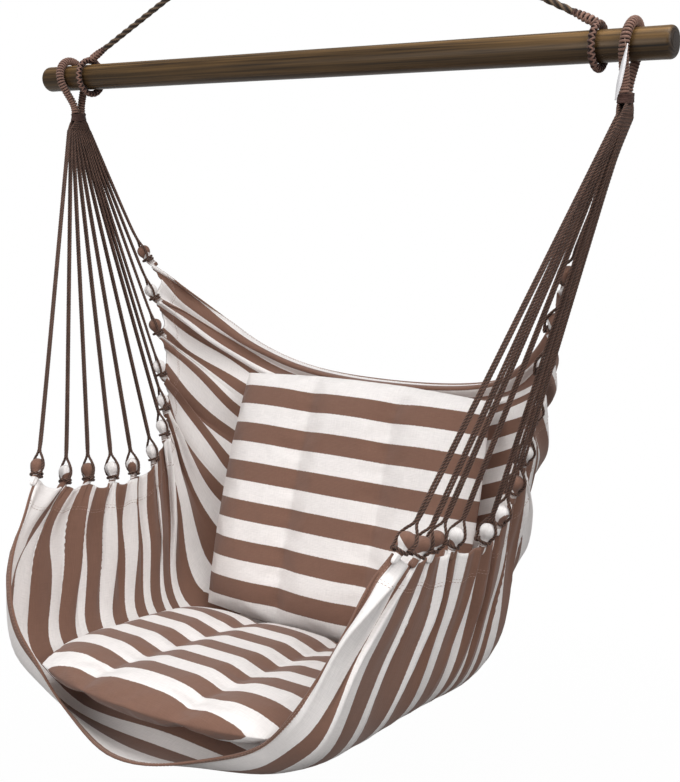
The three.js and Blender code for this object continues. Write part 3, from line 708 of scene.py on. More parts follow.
def striped_cloth(name, period, start, hem, far_hem=9.0):
    """Cloth with a brown half and a white half in each period, white first from start."""
    material, tree, place = start_material(name)

    def sums(operation, first, second=0.0):
        return calc(tree, operation, first, second)

    def beyond(distance, edge):
        return remap(tree, distance, edge - HEM_EDGE, edge + HEM_EDGE, 0.0, 1.0)

    flat = add(tree, "ShaderNodeUVMap", uv_map="cloth_metres").outputs[0]
    v = add(tree, "ShaderNodeSeparateXYZ", {0: flat}).outputs[1]
    wander = sums("MULTIPLY", sums("SUBTRACT", noise(tree, flat, 260.0, 1.0), 0.5), 0.0012)
    phase = sums("FRACT", sums("DIVIDE", sums("SUBTRACT", sums("ADD", v, wander), start), period))
    from_brown = sums("ABSOLUTE", sums("SUBTRACT", phase, 0.75))
    brown = remap(tree, from_brown, 0.25 + STRIPE_EDGE, 0.25 - STRIPE_EDGE, 0.0, 1.0)
    if hem:
        brown = sums("MULTIPLY", brown, remap(tree, v, hem + 0.03, hem + 0.031, 0.0, 1.0))
        in_hem = sums("SUBTRACT", 1.0, beyond(v, hem))
        brown = sums("MAXIMUM", sums("MAXIMUM", brown, in_hem), beyond(v, far_hem))
    threads, warp = (noise(tree, flat, scale, 2.0) for scale in ((60.0, 900.0, 1.0), (900.0, 60.0, 1.0)))
    woven = sums("ADD", sums("MULTIPLY", threads, 0.55), sums("MULTIPLY", warp, 0.45))
    lift = remap(tree, woven, 0.3, 0.7, 0.9, 1.08)
    aged = remap(tree, noise(tree, place, 7.0, 4.0), 0.35, 0.65, 0.965, 1.02)
    cloth = mixed(tree, brown, linear(OFF_WHITE), linear(BROWN))
    rib = sums("SINE", sums("MULTIPLY", v, 2 * math.pi / RIB_PITCH))
    fine = relief(tree, sums("ADD", sums("MULTIPLY", rib, 0.22), woven), 0.35, 0.0006)
    crumple = relief(tree, noise(tree, place, 16.0, 3.0, Distortion=0.6), 0.35, 0.006, Normal=fine)
    surface(tree, mixed(tree, 1.0, cloth, sums("MULTIPLY", lift, aged), "MULTIPLY"), 0.86, crumple,
            {"Sheen Weight": 0.15, "Sheen Roughness": 0.6, "Specular IOR Level": 0.2})
    return material


STRIPE_PERIOD, STRIPE_START = 0.062, 0.029
CANVAS = striped_cloth("striped_cotton_canvas", STRIPE_PERIOD, STRIPE_START, 0.015, far_hem=1.174)
print("canvas stripes:", STRIPE_PERIOD / 2 * 1000, "mm each")

# %% [markdown]
# ## The hammock cloth
# The cloth is one flat piece, 0.98 m across and 1.18 m from its front hem to its back hem. Nothing
# is sewn to shape: it takes its form from how it is gathered. Between two ties of the seat 86 mm of
# cloth hangs on a chord of about 50 mm, and up the back 133 mm hangs between two ties, so it must
# fold. A flat sheet could be simulated from scratch, but the ties' places are known from the
# photograph, so the main shape is laid through them as a grid of smooth curves, and the folds are
# added where cloth is spare: none under the cushions, deepest below the ties, bunched at each neck.

# %% The smooth shape of the cloth
SHEET_SHARES = np.array([
    [[0, -1, 0.94], [0.5, -0.872, 0.884], [0.602, -0.878, 0.835], [0.728, -0.775, 0.728]],
    [[0, -0.837, 0.9607], [0.53, -0.825, 0.933], [0.677, -0.825, 0.893], [0.774, -0.724, 0.764]],
    [[0, -0.627, 0.935], [0.551, -0.627, 0.9494], [0.69, -0.617, 0.91], [0.764, -0.515, 0.786]],
    [[0, -0.411, 0.9454], [0.551, -0.411, 0.958], [0.694, -0.395, 0.919], [0.769, -0.323, 0.793]],
    [[0, -0.191, 0.959], [0.551, -0.191, 0.9685], [0.7, -0.179, 0.93], [0.789, -0.14, 0.806]],
    [[0, 0.004, 0.988], [0.551, 0.01, 0.978], [0.706, 0.026, 0.938], [0.793, 0.009, 0.803]],
    [[0, 0.165, 0.942], [0.551, 0.168, 0.927], [0.715, 0.184, 0.888], [0.806, 0.128, 0.748]],
    [[0, 0.221, 0.84], [0.551, 0.236, 0.831], [0.72, 0.262, 0.798], [0.825, 0.181, 0.692]],
    [[0, 0.288, 0.746], [0.557, 0.31, 0.736], [0.734, 0.324, 0.702], [0.843, 0.226, 0.611]],
    [[0, 0.354, 0.652], [0.568, 0.38, 0.635], [0.753, 0.378, 0.596], [0.869, 0.253, 0.516]],
    [[0, 0.426, 0.564], [0.578, 0.44, 0.542], [0.766, 0.39, 0.5], [0.899, 0.251, 0.436]],
    [[0, 0.488, 0.524], [0.591, 0.49, 0.492], [0.766, 0.366, 0.431], [0.917, 0.215, 0.354]]])
SHEET_ROWS = SHEET_SHARES * (HALF_SPAN, REACH, -DROP) + (0, 0, BAR_Z)
TIE_POINTS = np.array([tuple(t) for t in ties])
TIE_UPS = np.array([tuple(f[1]) for f in tie_frames])
TIE_CLOTH, BACK_TIE_CLOTH = 0.086, 0.1326
HALF_WIDTH = 0.490
RAIL_DROP, RAIL_DIP, RAIL_CLIMB, RAIL_AWAY = 0.0080, 0.0075, 0.0075, 0.019
# The lean, the slant and the two amounts of cloth hidden in pleats were set until the
# stripes ran where the photograph shows them.
LEAN_AT = [0, 1, 2, 3, 4, 5, 5.9, 6.8, 7.7, 8.6, 9.4, 11]
LEAN_BY = [0, 0, 0.22, 0.42, 0.58, 0.8, 0.93, 0.15, -0.18, -0.22, -0.26, 0]
LEAN_SHARE = (1.0, 1.0, 1.0, 0.5)
SLANT_AT = [0, 1, 1.8, 3, 4.5, 5.2, 6, 7.2, 11]
SLANT_BY = {-1: [0, -0.036, -0.052, -0.048, -0.045, -0.03, 0.012, 0, 0],
            1: [0, 0.030, 0.028, 0.005, -0.015, 0.005, 0.04, 0, 0]}
HIDDEN_PLEAT, WHITE_HIDDEN = 0.037, 0.0042


def ramp(x, low, high):
    s = np.clip((x - low) / (high - low), 0, 1)
    return s * s * (3 - 2 * s)


def along_cloth(t):
    """Flat distance from the front hem to a place between the ties, which hold more cloth behind."""
    return TIE_CLOTH * t + (BACK_TIE_CLOTH - TIE_CLOTH) * np.maximum(0, t - 6)


def slant_at(t, q, side):
    """Low on the sides the cloth has slid along a little, so stripes and folds run askew to the ties."""
    return np.interp(t, SLANT_AT, SLANT_BY[side]) * (1 - ramp(q, 0.62, 1.0)) * ramp(q, 0.28, 0.5)


FLAT_LENGTH = float(along_cloth(CORD_COUNT - 1))


def unit(a):
    return a / np.maximum(np.linalg.norm(a, axis=-1, keepdims=True), 1e-9)


def rows_at(t, table):
    """Catmull-Rom along the chair through rows of control points."""
    i = np.clip(np.floor(t).astype(int), 0, len(table) - 2)
    w = (t - i).reshape(t.shape + (1,) * (table.ndim - 1))
    a, b, c, d = (table[np.clip(i + n, 0, len(table) - 1)] for n in (-1, 0, 1, 2))
    return 0.5 * (2 * b + (c - a) * w + (2 * a - 5 * b + 4 * c - d) * w**2 + (3 * b - a - 3 * c + d) * w**3)


def rail_at(t):
    """The gathered edge: at each neck under its tie, dipping or drawing back between ties."""
    k = np.clip(np.floor(t).astype(int), 0, CORD_COUNT - 2)
    w = (t - k)[..., None]
    up = unit(TIE_UPS[k] * (1 - w) + TIE_UPS[k + 1] * w)
    chord = unit(TIE_POINTS[k + 1] - TIE_POINTS[k])
    steep = (np.sum(chord * TIE_UPS[k], axis=-1) ** 2)[..., None]
    base = TIE_POINTS[k] * (1 - w) + TIE_POINTS[k + 1] * w
    away = rows_at(t, SHEET_ROWS)[..., 3, :] - base
    away = unit(away - up * np.sum(away * up, axis=-1, keepdims=True))
    dip = np.sin(math.pi * w) ** 2
    level = -up * (RAIL_DROP + RAIL_DIP * dip)
    climbing = -up * RAIL_CLIMB + away * RAIL_AWAY * dip
    return base + level * (1 - steep) + climbing * steep


def cloth_at(t, q):
    """The right half of the smooth cloth, from the centre line, q 0, to the tied edge, q 1."""
    lean = np.interp(t, LEAN_AT, LEAN_BY)
    inner = [rows_at(t - lean * share, SHEET_ROWS)[..., n:n + 1, :] for n, share in enumerate(LEAN_SHARE)]
    control = np.concatenate([*inner, rail_at(t)[..., None, :]], axis=-2)
    gaps = np.linalg.norm(np.diff(control, axis=-2), axis=-1)
    knots = np.concatenate([np.zeros_like(gaps[..., :1]), np.cumsum(gaps, axis=-1)], axis=-1)
    slopes = np.diff(control, axis=-2) / gaps[..., None]
    tangent = np.empty_like(control)
    tangent[..., 0, :] = (1.0, 0.0, 0.0)
    for n in (1, 2, 3):
        g0, g1 = gaps[..., n - 1, None], gaps[..., n, None]
        tangent[..., n, :] = (slopes[..., n - 1, :] * g1 + slopes[..., n, :] * g0) / (g0 + g1)
    tangent[..., 4, :] = 1.5 * slopes[..., 3, :] - 0.5 * tangent[..., 3, :]
    reach = q * knots[..., 4]
    n = np.clip(np.sum(reach[..., None] >= knots[..., 1:4], axis=-1), 0, 3)

    def take(array, index):
        return np.take_along_axis(array, index[..., None, None], axis=-2)[..., 0, :]

    def flat_take(array, index):
        return np.take_along_axis(array, index[..., None], axis=-1)

    g = flat_take(gaps, n)
    s = (reach[..., None] - flat_take(knots, n)) / g
    return hermite(s, take(control, n), g * take(tangent, n), take(control, n + 1), g * take(tangent, n + 1))


test = cloth_at(np.array([[0.0, 3.0]]), np.array([[0.0, 1.0]]))
print("front centre and fourth edge point, mm:", np.round(test[0] * 1000).tolist())

# %% Folds: bunch the cloth at the ties and let the rest swing in and out
PER_TIE, ACROSS = 44, 42
BILLOW, CREASE, SMALL_FOLD, DRAPE = 0.0085, 0.0074, 0.0024, 0.006
TOP_FOLD, TOP_SLIDE, RIPPLE = 0.0095, 0.0040, 0.0022


def half_cloth(side):
    """Points of one half, with its folds. side also picks the folds' own rhythm."""
    t_line = np.linspace(0, CORD_COUNT - 1, (CORD_COUNT - 1) * PER_TIE + 1)
    q_line = 1 - (1 - np.linspace(0, 1, ACROSS + 1)) ** 1.25
    t, q = np.meshgrid(t_line, q_line, indexing="ij")
    near = ramp(q, 0.52, 1.0)
    slant = slant_at(t, q, side)
    thread = t + slant / TIE_CLOTH
    u = thread - np.floor(thread)
    bunch = 0.86 * ramp(q, 0.45, 1.0) ** 1.3
    gathered = t - bunch * np.sin(2 * math.pi * u) / (2 * math.pi)
    step, last = 1e-3, CORD_COUNT - 1
    gathered = np.clip(gathered, 0, last)
    base = cloth_at(gathered, q)
    dt = cloth_at(np.clip(gathered + step, 0, last), q) - cloth_at(np.clip(gathered - step, 0, last), q)
    dq = cloth_at(gathered, np.clip(q + step, 0, 1)) - cloth_at(gathered, np.clip(q - step, 0, 1))
    outward = -unit(np.cross(dq, dt))
    shift = 0.7 if side > 0 else 2.1
    loose = 0.75 + 0.25 * np.sin(1.9 * t + shift) * np.sin(0.83 * t + 2 * shift)
    hang = near * (1 - 0.72 * ramp(q, 0.82, 1.0))
    back = ramp(t, 5.2, 7.0)
    billow = -BILLOW * (1 - 0.5 * back) * hang * np.cos(2 * math.pi * u) * loose
    wander = thread + 0.02 * np.sin(5.1 * q + 1.9 * t) + 0.13 * np.sin(1.7 * thread + shift)
    deep = (CREASE - 0.001 * back) * ramp(q, 0.46, 0.84) * (1 - 0.35 * ramp(q, 0.9, 1.0)) * loose
    crease = 1 - 2 * np.abs(np.sin(math.pi * 1.5 * wander + shift)) ** 0.75
    small = SMALL_FOLD * ramp(q, 0.66, 0.92) * np.cos(6 * math.pi * wander + 2 * shift)
    knife = deep * 1.2 * np.cos(3 * math.pi * wander + 2 * shift) * np.sin(1.3 * thread + 2 * shift)
    sway = np.sin(2 * math.pi * (0.75 * t + 1.1 * q) + shift)
    drape = DRAPE * back * ramp(q, 0.40, 0.62) * (1 - ramp(q, 0.80, 1.0)) * sway
    top = ramp(t, 9.55, 10.2) * (1 - 0.85 * ramp(q, 0.52, 0.88))
    roll = 2 * math.pi * (t - 10.08) / 0.72 + 0.35 * np.sin(3.1 * q + shift)
    fold = TOP_FOLD * top * np.sin(roll)
    front = (1 - ramp(t, 0.0, 1.0)) * (1 - ramp(q, 0.8, 1.0))
    ripple = RIPPLE * front * np.sin(2 * math.pi * (2.6 * q) + shift)
    give = billow + deep * crease + small + drape + fold + ripple
    slide = TOP_SLIDE * top * (1 - np.sin(roll)) + knife * (1 - ramp(q, 0.86, 1.0))
    points = base + outward * give[..., None] - unit(dt) * slide[..., None]
    points[..., 0] *= side
    tucked = 0.0 if side > 0 else HIDDEN_PLEAT
    tucked = tucked * ramp(t, 0.91, 0.94) * (1 - ramp(t, 6.2, 7.4)) * ramp(q, 0.3, 0.5)
    along = along_cloth(t) + slant + tucked
    pleated = ramp(t, 1.1, 1.6) * (1 - ramp(t, 5.4, 6.2)) * ramp(q, 0.45, 0.62)
    along = along - WHITE_HIDDEN * pleated * np.cos(2 * math.pi * (along - STRIPE_START) / STRIPE_PERIOD)
    return points, np.stack([side * q * HALF_WIDTH, along], axis=-1)


right_points, right_flat = half_cloth(1)
left_points, left_flat = half_cloth(-1)
middle = (right_points[:, :1] + left_points[:, :1]) / 2
cloth_grid = np.concatenate([left_points[:, :0:-1], middle, right_points[:, 1:]], axis=1)
cloth_flat = np.concatenate([left_flat[:, :0:-1], right_flat], axis=1)
print("cloth grid:", cloth_grid.shape[:2], "points")

# %% Give the cloth its two faces and its hems
CLOTH_HALF = 0.0008
END_HEM, SIDE_HEM = (0.013, 0.016), (0.034, 0.040)


def cloth_shell(grid, flat, half_thickness):
    """A closed shell round a grid. half_thickness may vary over the grid."""
    rows, cols = grid.shape[:2]
    normal = unit(np.cross(np.gradient(grid, axis=1), np.gradient(grid, axis=0)))
    inner, outer = grid + normal * half_thickness[..., None], grid - normal * half_thickness[..., None]
    points = np.concatenate([inner.reshape(-1, 3), outer.reshape(-1, 3)])
    uv = np.concatenate([flat.reshape(-1, 2)] * 2)
    off = rows * cols
    numbers = np.arange(off).reshape(rows, cols)
    faces = quads(numbers) + quads(numbers + off, -1)
    for j in range(cols - 1):
        b = (rows - 1) * cols + j
        faces += [[j + 1, j, off + j, off + j + 1], [b, b + 1, off + b + 1, off + b]]
    for i in range(rows - 1):
        a, b = i * cols, i * cols + cols - 1
        faces += [[a, a + cols, off + a + cols, off + a], [b + cols, b, off + b, off + b + cols]]
    return points, faces, uv


from_front = along_cloth(np.linspace(0, CORD_COUNT - 1, len(cloth_grid)))
end_hem = 1 - ramp(np.minimum(from_front, FLAT_LENGTH - from_front), *END_HEM)
side_hem = 1 - ramp(HALF_WIDTH - np.abs(cloth_flat[..., 0]), *SIDE_HEM)
doubled = np.maximum(end_hem[:, None], side_hem)
points, faces, uv = cloth_shell(cloth_grid, cloth_flat, CLOTH_HALF * (1 + 0.75 * doubled))
sheet = mesh_piece("striped_hammock_cloth", points, faces, CANVAS, uv=uv)
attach(sheet, "hammock")
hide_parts("hammock_sheet")
share = sum(face.area for face in sheet.data.polygons) / 2 / (2 * HALF_WIDTH * FLAT_LENGTH)
print("cloth:", len(faces), "faces, flat", 2 * HALF_WIDTH, "by", round(FLAT_LENGTH, 3), "m, share", round(share, 3))

# %% [markdown]
# ## The gathered tufts
# At each tie a bunch of the edge is drawn through, so a round head of folded cloth stands above the
# winding and a pleated skirt falls below it. A ball would look like a bead. The real head is made
# of folds that all run down into the neck, so this one is a stack of pleated rings whose
# folds lean a little, with its own stripes: which part is brown depends on where the tie
# caught the cloth. The photograph tells that for the tufts in view, and the rest are guesses.
# The first table gives the start, the swing and the folds of each tuft's stripes, and the second
# each ring's rise and width, as shares of the ball's radius, and the depth of its pleats.

# %% Pleated heads and skirts
TUFT_STRIPES = {
    "left": [(0.048, 0.5, 1), (0.022, 0.9, 0), (0.055, 0.7, 2), (0.018, 0.25, 1), (0.02, 0.3, 3), (0.022, 0.5, 2),
             (0.03, 0.6, 1), (0.024, 0.5, 0), (0.03, 0.6, 2), (0.06, 0.3, 1), (0.026, 0.6, 3), (0.055, 0.6, 0)],
    "right": [(0.046, 0.8, 0), (0.056, 0.6, 2), (0.05, 0.9, 1), (0.026, 0.7, 3), (0.02, 0.5, 1), (0.02, 0.4, 2),
              (0.05, 0.5, 0), (0.024, 0.5, 3), (0.05, 0.6, 1), (0.026, 0.5, 2), (0.05, 0.6, 0), (0.055, 0.6, 1)]}
HEAD = [(-1.9, 0.40, 0.1), (-1.3, 0.56, 0.2), (-0.75, 0.58, 0.12), (0.0, 0.57, 0.05), (0.42, 0.62, 0.1),
        (0.68, 0.82, 0.1), (1.0, 0.97, 0.10), (1.36, 1.04, 0.08), (1.72, 0.99, 0.08), (2.02, 0.82, 0.10),
        (2.24, 0.54, 0.14), (2.36, 0.20, 0.1)]
TUFT_SIDES, HEAD_PATTERN = 30, 0.076


def tuft(side, k, start, swing, folds):
    """A pleated head with its neck and skirt, closed at both ends."""
    tie, up, along, out = (np.array(tuple(vector)) for vector in tie_frames[k])
    below = unit(cloth_at(np.array([[float(k)]]), np.array([[0.90]]))[0, 0] - tie)
    around = np.arange(TUFT_SIDES) / TUFT_SIDES * 2 * math.pi
    seed = k * 1.7 + side
    points, uv = [], []
    for rise, wide, depth in HEAD:
        h = rise * TUFT_BALL
        pleats = np.cos((6 + folds % 2) * around + 0.5 * rise + seed) * 0.7 + np.cos(3 * around + seed) * 0.45
        reach = wide * TUFT_BALL * (1 + depth * pleats)
        middle = tie + (up * h if h > 0 else below * -h)
        flatten, spread = (1.0, 1.0) if rise > -0.4 else (0.7, 1.1)
        points.append(middle + np.outer(reach * np.cos(around) * flatten, out)
                      + np.outer(reach * np.sin(around) * spread, along))
        v = HEAD_PATTERN + start + 0.012 * swing * (rise - 1.2) + 0.007 * np.cos(around + folds * 1.6 + 0.3 * rise)
        if rise < -0.5:
            v = max(0.04, float(along_cloth(k))) + 0.016 * np.sin(around)
        uv.append(np.column_stack([around * 0.02, v]))
    faces = tube_faces(len(HEAD), TUFT_SIDES)
    return np.concatenate(points) * (side, 1, 1), [face[::side] for face in faces], np.concatenate(uv)


for side, word in SIDES:
    points, faces, uv = [], [], []
    for k in range(CORD_COUNT):
        tuft_points, tuft_faces, tuft_uv = tuft(side, k, *TUFT_STRIPES[word][k])
        faces += [[i + k * len(tuft_points) for i in face] for face in tuft_faces]
        points.append(tuft_points)
        uv.append(tuft_uv)
    tufts = mesh_piece(f"{word}_cloth_tufts", np.concatenate(points), faces, CANVAS, uv=np.concatenate(uv))
    softened(tufts)
    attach(tufts, "hammock")
    print(tufts.name, len(tufts.data.vertices), "points")

# %% [markdown]
# ## Stitches
# Two rows of stitches run 34 and 38 mm inside each tied edge, and two run along each hem, 4 and
# 12 mm in. A stitch is a short rod of thread, so the same idea as the rings serves: a point, a
# turn and a size for each, and a tree that repeats the rod.

# %% The tree that repeats a stitch, and the rows
STITCHES, given = start_tree("stitches_on_points", "Length", "Thread Radius")
rod = add(STITCHES, "GeometryNodeMeshCylinder", {
    "Vertices": 6, "Radius": given["Thread Radius"], "Depth": given["Length"]})
end_tree(STITCHES, on_points(STITCHES, given["Geometry"], rod.outputs["Mesh"]), given["Material"])
STITCH_PITCH, STITCH_LENGTH, THREAD_RADIUS = 0.0046, 0.0030, 0.00032
SIDE_STITCHES, END_STITCHES = (0.034, 0.038), (0.004, 0.012)

THREAD, tree, place = start_material("cotton_sewing_thread")
ply = noise(tree, place, 900.0, 1.0)
surface(tree, mixed(tree, ply, linear("#8f7163"), linear("#b39888")), 0.7, relief(tree, ply, 0.3, 0.0002),
        {"Sheen Weight": 0.1})


def at_grid(row, column):
    """A point of the folded cloth between its grid points."""
    g = cloth_grid
    i, j = np.clip(int(row), 0, g.shape[0] - 2), np.clip(int(column), 0, g.shape[1] - 2)
    a, b = row - i, column - j
    return (g[i, j] * (1 - a) + g[i + 1, j] * a) * (1 - b) + (g[i, j + 1] * (1 - a) + g[i + 1, j + 1] * a) * b


def stitch_row(places, row_step, column_step, lift):
    """Stitches along grid places, on both faces of the cloth. The steps lead off the row."""
    line = np.array([at_grid(*p) for p in places])
    other = np.array([at_grid(r + row_step, c + column_step) for r, c in places])
    along = lengths_along(line)
    for d in np.arange(STITCH_PITCH / 2, along[-1] - STITCH_PITCH / 2, STITCH_PITCH):
        here, ahead, beside = (np.array([np.interp(x, along, source[:, n]) for n in range(3)])
                               for x, source in ((d, line), (d + 0.0004, line), (d, other)))
        tangent = unit(ahead - here)
        normal = unit(np.cross(tangent, beside - here))
        turn = tuple(Vector(tangent).to_track_quat("Z", "Y").to_euler())
        for face in (1, -1):
            stitch_points.append(here + normal * lift * face)
            stitch_turns.append(turn)


rows, cols = cloth_grid.shape[:2]
stitch_points, stitch_turns = [], []
for side, _ in SIDES:
    for inset in SIDE_STITCHES:
        column = float(np.interp(side * (HALF_WIDTH - inset), cloth_flat[0, :, 0], np.arange(cols)))
        stitch_row([(i, column) for i in range(rows)], 0, 0.3, CLOTH_HALF * 1.5)
for v in (*END_STITCHES, *[FLAT_LENGTH - inset for inset in END_STITCHES[::-1]]):
    row = float(np.interp(v, from_front, np.arange(rows)))
    stitch_row([(row, j) for j in range(cols)], 0.3, 0, CLOTH_HALF * 1.75)
stitches = grown("hem_stitches", STITCHES,
                 {"Length": STITCH_LENGTH, "Thread Radius": THREAD_RADIUS, "Material": THREAD},
                 stitch_points, turn=stitch_turns, size=np.ones((len(stitch_points), 3)))
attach(stitches, "hammock")
print(len(stitch_points), "stitches")

# %% [markdown]
# ## The cushions
# Each cushion is a striped cover over loose fibre, closed at its edges and sewn through along two
# lines, so it swells in three channels. A modelled pad can have the outline and the crown, but
# the way cloth pulls at a seam comes best from cloth itself. The cover starts as a thin closed
# grid, the seams are pinned, and pressure fills it. It is kept within a cap so the cushion
# stays the size of its solid.

# %% A cover as a closed grid, with its flat map
CUSHION_WIDTH = 0.460
COVER_COLUMNS, COVER_ROWS = 96, 80
PINCH, SEAM_HALF = 0.34, 0.015


def denser_at_ends(count):
    """Places from -1 to 1, closer together towards both ends."""
    return np.sin(math.pi / 2 * (2 * np.arange(count + 1) / count - 1) * 0.93) / math.sin(math.pi * 0.465)


def cover_grid(width, depth, thick, low_corner, high_corner):
    """Shares a and b across and along, the flat place, the half thickness and the way to a seam."""
    b, a = np.meshgrid(denser_at_ends(COVER_ROWS), denser_at_ends(COVER_COLUMNS), indexing="ij")
    corner = np.where(b < 0, low_corner, high_corner)
    x = width / 2 * a * np.sqrt(1 - b * b * corner)
    w = depth / 2 * b * np.sqrt(1 - a * a * corner)
    crown = np.sqrt(np.clip(1 - a**4, 0, 1)) * np.sqrt(np.clip(1 - b**4, 0, 1))
    seam = np.abs(np.abs(x) - width / 6)
    narrow = 1 - PINCH * np.exp(-(seam / SEAM_HALF) ** 2)
    return a, b, x, w, thick / 2 * crown * narrow, seam


def cover_faces(rows, cols):
    """Faces of a top and a bottom grid that share their rim, and the number of each point."""
    top = np.arange(rows * cols).reshape(rows, cols)
    low = top.copy()
    low[1:-1, 1:-1] = np.arange((rows - 2) * (cols - 2)).reshape(rows - 2, cols - 2) + rows * cols
    return top, low, quads(top) + quads(low, -1)


# %% Fill the cover with pressure
FILL_FRAMES = 18
FILL_SETTINGS = {
    "quality": 5, "mass": 0.25, "tension_stiffness": 12, "compression_stiffness": 12, "shear_stiffness": 4,
    "bending_stiffness": 0.4, "use_pressure": True, "uniform_pressure_force": 3.2, "vertex_group_mass": "sewn",
    "shrink_min": -0.012}


def filled(points, faces, pins, cap):
    """Runs cloth with pressure on a closed cover and returns its points, each moved by cap at most."""
    mesh = bpy.data.meshes.new("cover_at_work")
    mesh.from_pydata([tuple(p) for p in points.tolist()], [], faces)
    worker = placed("cover_at_work", mesh)
    worker.vertex_groups.new(name="sewn").add([int(i) for i in pins], 1.0, "REPLACE")
    cloth = worker.modifiers.new("fill", "CLOTH")
    for key, value in FILL_SETTINGS.items():
        setattr(cloth.settings, key, value)
    cloth.settings.effector_weights.gravity = 0
    cloth.collision_settings.use_collision = False
    scene = bpy.context.scene
    for keeper in (scene, cloth.point_cache):
        keeper.frame_start, keeper.frame_end = 1, FILL_FRAMES
    for number in range(1, FILL_FRAMES + 1):
        scene.frame_set(number)
    moved = worker.evaluated_get(bpy.context.evaluated_depsgraph_get())
    step = points_of(moved.data) - points
    worker.modifiers.clear()
    bpy.data.objects.remove(worker)
    scene.frame_set(1)
    far = np.linalg.norm(step, axis=1, keepdims=True)
    return points + step * np.minimum(1, cap / np.maximum(far, 1e-9))


def settle(points, index, times):
    """Evens out small jitter over the grid without moving its rim."""
    grid = points[index]
    for _ in range(times):
        mean = (grid[:-2, 1:-1] + grid[2:, 1:-1] + grid[1:-1, :-2] + grid[1:-1, 2:]) / 4
        grid[1:-1, 1:-1] = grid[1:-1, 1:-1] * 0.5 + mean * 0.5
    points[index] = grid


# %% Make one cushion
SEAM_PINNED, FILL_CAP = 0.0032, 0.010


def wave(place, length, phase=0.0):
    return np.sin(2 * math.pi * place / length + phase)


def cushion(name, node, body, depth, thick, turn_degrees, y, z, low_corner, high_corner, material, pucker, sim_thick):
    """A filled, sewn cushion, laid by a turn about X and its middle's place."""
    a, b, x, w, h, seam = cover_grid(CUSHION_WIDTH, depth, thick * sim_thick, low_corner, high_corner)
    rows, cols = x.shape
    top, low, faces = cover_faces(rows, cols)
    inner = (slice(1, -1), slice(1, -1))
    points = np.concatenate([np.stack([x, w, h], -1).reshape(-1, 3), np.stack([x, w, -h], -1)[inner].reshape(-1, 3)])
    held = [*(grid[seam < SEAM_PINNED] for grid in (top, low)), top[0], top[-1], top[:, 0], top[:, -1]]
    points = filled(points, faces, np.unique(np.concatenate(held)), FILL_CAP)
    for index in (top, low):
        settle(points, index, 2)
    limit = thick / 2
    near = np.exp(-seam / 0.016) * (1 - np.abs(a) ** 6) * (1 - np.abs(b) ** 6)
    seed = 1.3 if depth < 0.395 else 4.2
    rhythm = wave(w, 0.034, seed + 2.1 * np.sin(9 * w + np.sign(x))) + 0.6 * wave(w, 0.019, 2 * seed + np.sign(x))
    rim = (np.exp(-(1 - np.abs(a)) / 0.05) * wave(w, 0.045, seed)
           + np.exp(-(1 - np.abs(b)) / 0.05) * wave(x, 0.05, seed))
    groove = -0.0016 * np.exp(-(seam / 0.0022) ** 2)
    rise = (pucker * rhythm * near + 0.0011 * rim * (1 - np.abs(a) ** 30) * (1 - np.abs(b) ** 30) + groove)
    for index, sign in ((top, 1), (low, -1)):
        hold = points[index]
        hold[1:-1, 1:-1, 2] += sign * rise[1:-1, 1:-1]
        hold[..., 2] = np.clip(hold[..., 2], -limit, limit)
        points[index] = hold
    flat_top = np.stack([x + 0.5, w + depth / 2], -1)
    uv = np.concatenate([flat_top.reshape(-1, 2), flat_top[inner].reshape(-1, 2)])
    turn = Matrix.Rotation(math.radians(turn_degrees), 3, "X")
    piece = mesh_piece(name, points @ np.array(turn).T + np.array([0, y, BAR_Z + z]), faces, material, uv=uv)
    softened(piece)
    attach(piece, body)
    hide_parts(node)
    print(name, "thickness", round(float(np.ptp(points[:, 2])) * 1000, 1), "mm")


COVER_PERIOD = 0.0615
SEAT_COVER = striped_cloth("striped_cotton_seat_cover", COVER_PERIOD, 0.0300, 0.0)
BACK_COVER = striped_cloth("striped_cotton_back_cover", COVER_PERIOD, 0.0, 0.0)
cushion("striped_seat_pad", "seat_cushion", "seat_pad", 0.390, 0.056, -7.6, -0.207, -0.8064, 0.36, 0.09,
        SEAT_COVER, 0.0014, 0.9)
cushion("striped_back_pad", "back_cushion", "back_pad", 0.400, 0.076, 90 - 18.3, 0.0819, -0.653, 0.09, 0.09,
        BACK_COVER, 0.0010, 0.93)

# %% [markdown]
# ## The blank tag
# A narrow satin ribbon hangs from the right fan eye, folded so that it is seen nearly edge on. It
# carries no print. A flat card would look stiff: this strip twists and tapers at both ends, and a
# fine loose thread stands beside its sewn end.

# %% Ribbon material and strip
RIBBON, tree, place = start_material("blank_satin_ribbon")
satin = noise(tree, place, (900.0, 900.0, 60.0), 1.0)
surface(tree, mixed(tree, satin, linear("#dcd9dc"), linear("#fbfafb")), 0.4, relief(tree, satin, 0.2, 0.0002),
        {"Sheen Weight": 0.2})
TAG_HALF = 0.005
top_end, low_end = Vector((0.4605, -0.0334, BAR_Z - 0.002)), Vector((0.4492, -0.0338, BAR_Z - 0.064))
strip, count = [], 26
for i in range(count + 1):
    s = i / count
    middle = top_end.lerp(low_end, s) + Vector((0.0008 * math.sin(3 * s), -0.0012 * math.sin(math.pi * s), 0))
    half = TAG_HALF * float(np.interp(s, [0, 0.12, 0.35, 0.7, 1], [0.2, 0.6, 1.0, 0.85, 0.2]))
    twist = math.radians(-62 + 34 * s)
    across = Vector((math.cos(twist), math.sin(twist) * 0.25, 0))
    strip += [middle - across * half, middle + across * half]
strip_faces = [[2 * i, 2 * i + 1, 2 * i + 3, 2 * i + 2] for i in range(count)]
ribbon = mesh_piece("blank_ribbon_tag", [tuple(p) for p in strip], strip_faces, RIBBON)
wall = ribbon.modifiers.new("ribbon_thickness", "SOLIDIFY")
wall.thickness, wall.offset = 0.0003, 0
